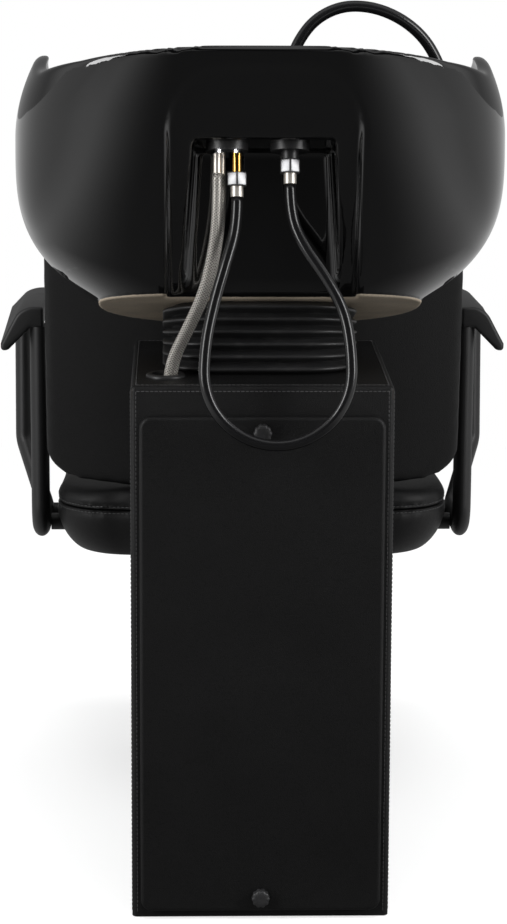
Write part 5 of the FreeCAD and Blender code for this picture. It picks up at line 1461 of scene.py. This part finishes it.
@dataclass
class Plumbing:
    """Hoses and their fittings."""

    hose_r: float = 0.0065
    braid_r: float = 0.0056
    waste_r: float = 0.022
    lead: float = 34.0
    mixer: tuple[float, float] = (-30.0, -222.0)
    outlet: tuple[float, float] = (30.0, -222.0)
    tails: tuple[float, float] = (-50.0, -222.0)
    drain: tuple[float, float] = (0.0, 30.0)
    handset_tail: Point = (196.0, -118.0, 170.0)
    handset_root: Point = (152.0, -46.0, 79.4)
    link_z: tuple[float, float] = (132.0, 147.0)
    spray_z: float = 253.0
    spray_lead: float = 28.0
    sleeve: float = 16.0
    tails_z: float = 158.0
    pair: Point = (2.5, 5.6, 0.0)
    inlet: tuple[float, float] = (-111.0, -91.0)
    inlet_gap: float = 17.0
    drain_z: float = -24.0
    drain_lead: float = 90.0
    link_run: tuple[Point, ...] = (
        (-43, -189, 779), (-56, -199, 736), (-66, -211, 691), (-68, -219, 640), (-46, -224, 601),
        (-7, -225, 578), (38, -225, 578), (77, -224, 601), (99, -219, 640), (98, -212, 688),
        (90, -201, 730), (68, -192, 767), (44, -181, 800))
    spray_run: tuple[Point, ...] = (
        (38, -120, 1021), (58, -115, 1048), (89, -110, 1063), (124, -107, 1062), (157, -103, 1049),
        (184, -98, 1027), (201, -94, 999), (212, -89, 967), (216, -81, 932))
    supply_run: tuple[Point, ...] = (
        (-53, -163, 800), (-64, -148, 745), (-84, -124, 697), (-104, -106, 655), (-109, -102, 600),
        (-110, -100, 520), (-110, -97, 400), (-110.5, -93, 310))
    waste_run: tuple[Point, ...] = (
        (0, -14, 419.1), (0, -30.06, 290.2), (0, -36, 200.0), (0, -36, 120.0))
    spray_bend: Bend = Bend(Body.BASIN, Body.HANDSET, (0.035, -0.11, 1.04), (0.214, -0.10, 1.02))
    supply_bend: Bend = Bend(Body.BASE, Body.BASIN, (-0.105, -0.106, 0.645), (-0.052, -0.165, 0.81))
    waste_bend: Bend = Bend(Body.BASE, Body.BASIN, (0.0, -0.014, 0.40), (0.0, 0.02, 0.60))
    nut_turn: float = math.radians(30.0)
    nut_edge: float = 0.0017

    def build(self) -> None:
        """Lay every hose."""
        self.link()
        self.spray()
        for side, node in ((-1, "cold_hose"), (1, "hot_hose")):
            self.supply(side, node)
        self.waste()

    @staticmethod
    def at(*place: float) -> Point:
        """A place of the basin's frame as a control point."""
        return tuple(LEVEL.point(*place) / MM)

    def nuts(self) -> Piece:
        """The link hose's nuts, each turned so that an edge faces the rear, with broken edges."""
        piece = Bench.copy_of("hose_nuts", "hose_nuts_turned")
        p = LEVEL.inside(points_of(piece))
        middle = np.where(p[:, :1] < 0, np.array(self.mixer), np.array(self.outlet))
        flat = p[:, :2] - middle
        c, s = math.cos(self.nut_turn), math.sin(self.nut_turn)
        p[:, :2] = middle + flat @ np.array(((c, s), (-s, c)))
        set_points(piece, LEVEL.outside(p))
        Bench.modify(piece, "DECIMATE", decimate_type="DISSOLVE", angle_limit=math.radians(2.0))
        Bench.break_edges(piece, self.nut_edge, 3, 40)
        Bench.soften(piece, 25.0)
        return dress(piece, NICKEL, Body.BASIN, Slot.CHROME, "hose_nuts")

    def link(self) -> None:
        """The hose that hangs from the mixer to the spray outlet."""
        start, end = self.link_z
        route = [self.at(*self.mixer, start), self.at(*self.mixer, start - self.lead), *self.link_run,
                 self.at(*self.outlet, end - self.lead), self.at(*self.outlet, end)]
        hose = Hose("link_hose_line", route, self.hose_r, HOSE)
        fittings = [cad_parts["link_hose_ferrules"], self.nuts()]
        self.lay(hose, Body.BASIN, Slot.HOSE, "link_hose", fittings)

    def spray(self) -> None:
        """The hose that arches over the rim into the handset."""
        tail, root = np.array(self.handset_tail), np.array(self.handset_root)
        forward = (root - tail) / np.linalg.norm(root - tail)
        last = tail - forward * self.sleeve
        before = last - forward * self.spray_lead
        route = [self.at(*self.outlet, self.spray_z), self.at(*self.outlet, self.spray_z + self.spray_lead),
                 *self.spray_run, self.at(*before), self.at(*last)]
        hose = Hose("spray_hose_line", route, self.hose_r, HOSE)
        self.lay(hose, self.spray_bend, Slot.HOSE, "spray_hose", [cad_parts["handset_nut"]])

    def supply(self, side: int, node: str) -> None:
        """One of the two braided hoses that run side by side through the grommet."""
        pair = Vector(self.pair) * side
        x, y = self.tails[0] + pair.x, self.tails[1] + pair.y
        inlet_x, inlet_y = self.inlet
        foot_y = inlet_y + self.inlet_gap * side
        route = [self.at(x, y, self.tails_z), self.at(x, y, self.tails_z - self.lead)]
        route += [tuple(Vector(spot) + pair) for spot in self.supply_run]
        route += [(inlet_x, inlet_y + 0.55 * self.inlet_gap * side, 235), (inlet_x, foot_y, 165),
                  (inlet_x, foot_y, 107)]
        hose = Hose(node + "_line", route, self.braid_r, BRAID)
        fittings = [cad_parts["supply_nuts"]] if side > 0 else []
        self.lay(hose, self.supply_bend, Slot.BRAID, node, fittings)

    def waste(self) -> None:
        """The hose inside the pedestal, from the drain to the floor."""
        route = [self.at(*self.drain, self.drain_z), self.at(*self.drain, self.drain_z - self.drain_lead),
                 *self.waste_run]
        hose = Hose("waste_hose_line", route, self.waste_r, WASTE_RUBBER)
        self.lay(hose, self.waste_bend, Slot.RUBBER, "waste_hose", [])

    def lay(self, hose: Hose, bend: Bend | Body, slot: Slot, node: str,
            fittings: list[Piece]) -> None:
        """Let a hose ride on its body, or keep it in place where it spans two bodies, and hide its solid.

        Args:
            hose: The hose.
            bend: The body it rides on, or the two bodies it bends between.
            slot: Its material slot; not used.
            node: The solid it stands for.
            fittings: Pieces that sit on it; not used.
        """
        if isinstance(bend, Bend):
            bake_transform(hose.piece)
        else:
            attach(hose.piece, bend.value)
        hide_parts(node)
        LOG.info("%s is %.0f mm long", hose.piece.name, hose.run() / MM)


@dataclass(frozen=True)
class Carried:
    """Solids whose shape is kept, with better surfaces."""

    finishes: tuple[tuple[Finish, str], ...] = (
        (PAINT, "floor_plate pedestal_frame seat_frame back_straps lower_bracket upper_bracket"),
        (PAINT, "bellows_base_ring bellows_top_ring"),
        (BOARD, "pedestal_left_board pedestal_right_board pedestal_front_board pedestal_top_board"),
        (BOARD, "pedestal_rear_board plinth_left_board plinth_right_board plinth_front_board"),
        (VINYL, "access_panel"),
        (ARM, "arm_loop_left arm_loop_right arm_spacers"),
        (ZINC, "arm_bolts panel_inserts base_bolts bracket_bolts hinge_pins"),
        (PLASTIC, "hinge_bushes hose_grommet deck_backnuts spray_outlet handset_face"),
        (PIPE, "waste_outlet waste_nut"),
        (CHROME, "supply_nuts waste_flange mixer_body mixer_cap mixer_lever handset_nut hair_strainer"),
        (SATIN, "supply_tails link_hose_ferrules"),
        (GEL, "neck_rest"),
        (BRASS, "mixer_outlet_tube"),
        (HOSE, "handset"),
    )

    def build(self) -> None:
        """Paint each solid that stays."""
        for finish, nodes in self.finishes:
            for node in nodes.split():
                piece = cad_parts[node]
                piece.data.materials.clear()
                piece.data.materials.append(finish.material())
                LOG.info("%s keeps its solid", node)


@dataclass(frozen=True)
class Lamp:
    """A soft lamp, which mirrors may or may not see."""

    name: str
    place: Point
    aim: Point
    size: tuple[float, float]
    power: float
    mirrored: bool


@dataclass(frozen=True)
class Studio:
    """Camera, lamps, floor and white surroundings."""

    place: Point = (-0.0953, -3.53897, 1.22284)
    pitch: float = math.radians(11.321)
    yaw: float = math.radians(1.447)
    roll: float = math.radians(0.237)
    focal_px: float = 3000.0
    long_side_px: float = 924.0
    sensor: float = 36.0
    ambient: float = 0.35
    floor_size: float = 30.0
    floor_z: float = -0.0005
    lamps: tuple[Lamp, ...] = (
        Lamp("left_softbox", (-2.6, -1.7, 1.5), (0.0, 0.0, 0.75), (0.9, 2.2), 55.0, True),
        Lamp("right_softbox", (2.6, -1.5, 1.6), (0.0, 0.0, 0.75), (0.9, 2.2), 55.0, True),
        Lamp("top_softbox", (0.0, -0.3, 3.2), (0.0, 0.1, 0.6), (2.4, 1.8), 70.0, False),
    )

    def build(self) -> None:
        """Set up everything round the object."""
        self.camera()
        self.floor()
        self.world()
        for lamp in self.lamps:
            self.light(lamp)
        bpy.context.scene.view_settings.view_transform = "Standard"

    def camera(self) -> None:
        """The photograph's viewpoint."""
        data = bpy.data.cameras.new("camera")
        data.sensor_fit = "AUTO"
        data.sensor_width = self.sensor
        data.lens = self.focal_px / self.long_side_px * self.sensor
        data.clip_end = 50.0
        eye = Bench.add("camera", data)
        cp, sp = math.cos(self.pitch), math.sin(self.pitch)
        cy, sy = math.cos(self.yaw), math.sin(self.yaw)
        ahead = Vector((sy * cp, cy * cp, -sp))
        level = Vector((cy, -sy, 0.0))
        above = level.cross(ahead)
        right = level * math.cos(self.roll) + above * math.sin(self.roll)
        above = above * math.cos(self.roll) - level * math.sin(self.roll)
        turn = Matrix((right, above, -ahead)).transposed().to_4x4()
        eye.matrix_world = Matrix.Translation(self.place) @ turn
        bpy.context.scene.camera = eye

    def floor(self) -> None:
        """A pale floor that looks white to the camera but keeps the shadow."""
        Bench.free()
        bpy.ops.mesh.primitive_plane_add(size=self.floor_size, location=(0, 0, self.floor_z))
        ground = Bench.named("floor_sheet")
        recipe = Recipe("pale_floor")
        drift = recipe.noise(1.5, 2.0)
        recipe.set(Base_Color=recipe.mix(drift, grey(0.040), grey(0.045)), Roughness=0.7)
        x, y, _ = recipe.axes(recipe.where)
        sideways = recipe.band(recipe.math("ABSOLUTE", x), 0.45, 1.5, 0.01, 0.55)
        behind = recipe.band(y, -0.5, 0.5, 0.0, 0.4)
        seen = self.seen(recipe, recipe.math("MAXIMUM", sideways, behind))
        length = recipe.get("ShaderNodeVectorMath", {"operation": "LENGTH"}, {0: recipe.where}, "Value")
        away = recipe.band(length, 0.7, 2.8)
        tone = recipe.mix(away, grey(0.62), grey(0.0))
        plain = recipe.get("ShaderNodeBsdfDiffuse", {}, {"Color": tone})
        lit = recipe.mix(away, grey(0.60), grey(1.0))
        glow = recipe.get("ShaderNodeEmission", {}, {"Color": lit, "Strength": 1.0})
        pale = recipe.get("ShaderNodeAddShader", {}, {0: plain, 1: glow})
        dull = Val(recipe, recipe.shader.outputs[0])
        recipe.show(recipe.node("ShaderNodeMixShader", {}, {0: seen, 1: dull, 2: pale}))
        ground.data.materials.append(recipe.material)

    @staticmethod
    def seen(graph: Graph, mirrored: Val) -> Val:
        """Share of the white background that a ray sees: all for the camera, and some in mirrors."""
        mirror = graph.ray("Glossy", "Transmission")
        return graph.math("MAXIMUM", graph.ray("Camera"), mirror * mirrored)

    @staticmethod
    def room(graph: Graph, ahead: Val) -> Val:
        """Brightness of what a mirror sees: dark towards the camera, white at the sides, paler behind."""
        sides = graph.band(ahead, -0.70, -0.20, 0.01, 0.75)
        return sides * graph.band(ahead, -0.10, 0.40, 1.0, 0.36)

    def world(self) -> None:
        """White to the camera and in what mirrors it, softer as light."""
        world = bpy.data.worlds.new("studio")
        bpy.context.scene.world = world
        world.use_nodes = True
        graph = Graph(world.node_tree)
        _, ahead, _ = graph.axes(graph.get("ShaderNodeTexCoord", {}, {}, "Generated"))
        seen = self.seen(graph, self.room(graph, ahead))
        direct = graph.math("MAXIMUM", graph.ray("Camera"), graph.ray("Glossy", "Transmission"))
        strength = seen + self.ambient * (1.0 - direct)
        sky = graph.node("ShaderNodeBackground", {}, {"Color": grey(1.0), "Strength": strength})
        out = graph.node("ShaderNodeOutputWorld", {}, {})
        graph.tree.links.new(sky.outputs[0], out.inputs["Surface"])

    @staticmethod
    def light(lamp: Lamp) -> None:
        """Place one soft lamp."""
        data = bpy.data.lights.new(lamp.name, "AREA")
        data.shape = "RECTANGLE"
        data.size, data.size_y = lamp.size
        data.energy = lamp.power
        made = Bench.add(lamp.name, data)
        made.location = lamp.place
        made.visible_camera = False
        made.visible_glossy = lamp.mirrored
        made.rotation_euler = (Vector(lamp.aim) - Vector(lamp.place)).to_track_quat("-Z", "Y").to_euler()


def main() -> None:
    """Build the sub-assemblies in order."""
    logging.basicConfig(level=logging.INFO, format="%(message)s")
    Studio().build()
    Carried().build()
    Plumbing().build()
    Pedestal().build()
    ThumbScrews().build()
    Basin().build()
    Bellows().build()
    Arms().build()
    Seat().build()


if __name__ == "__main__":
    main()
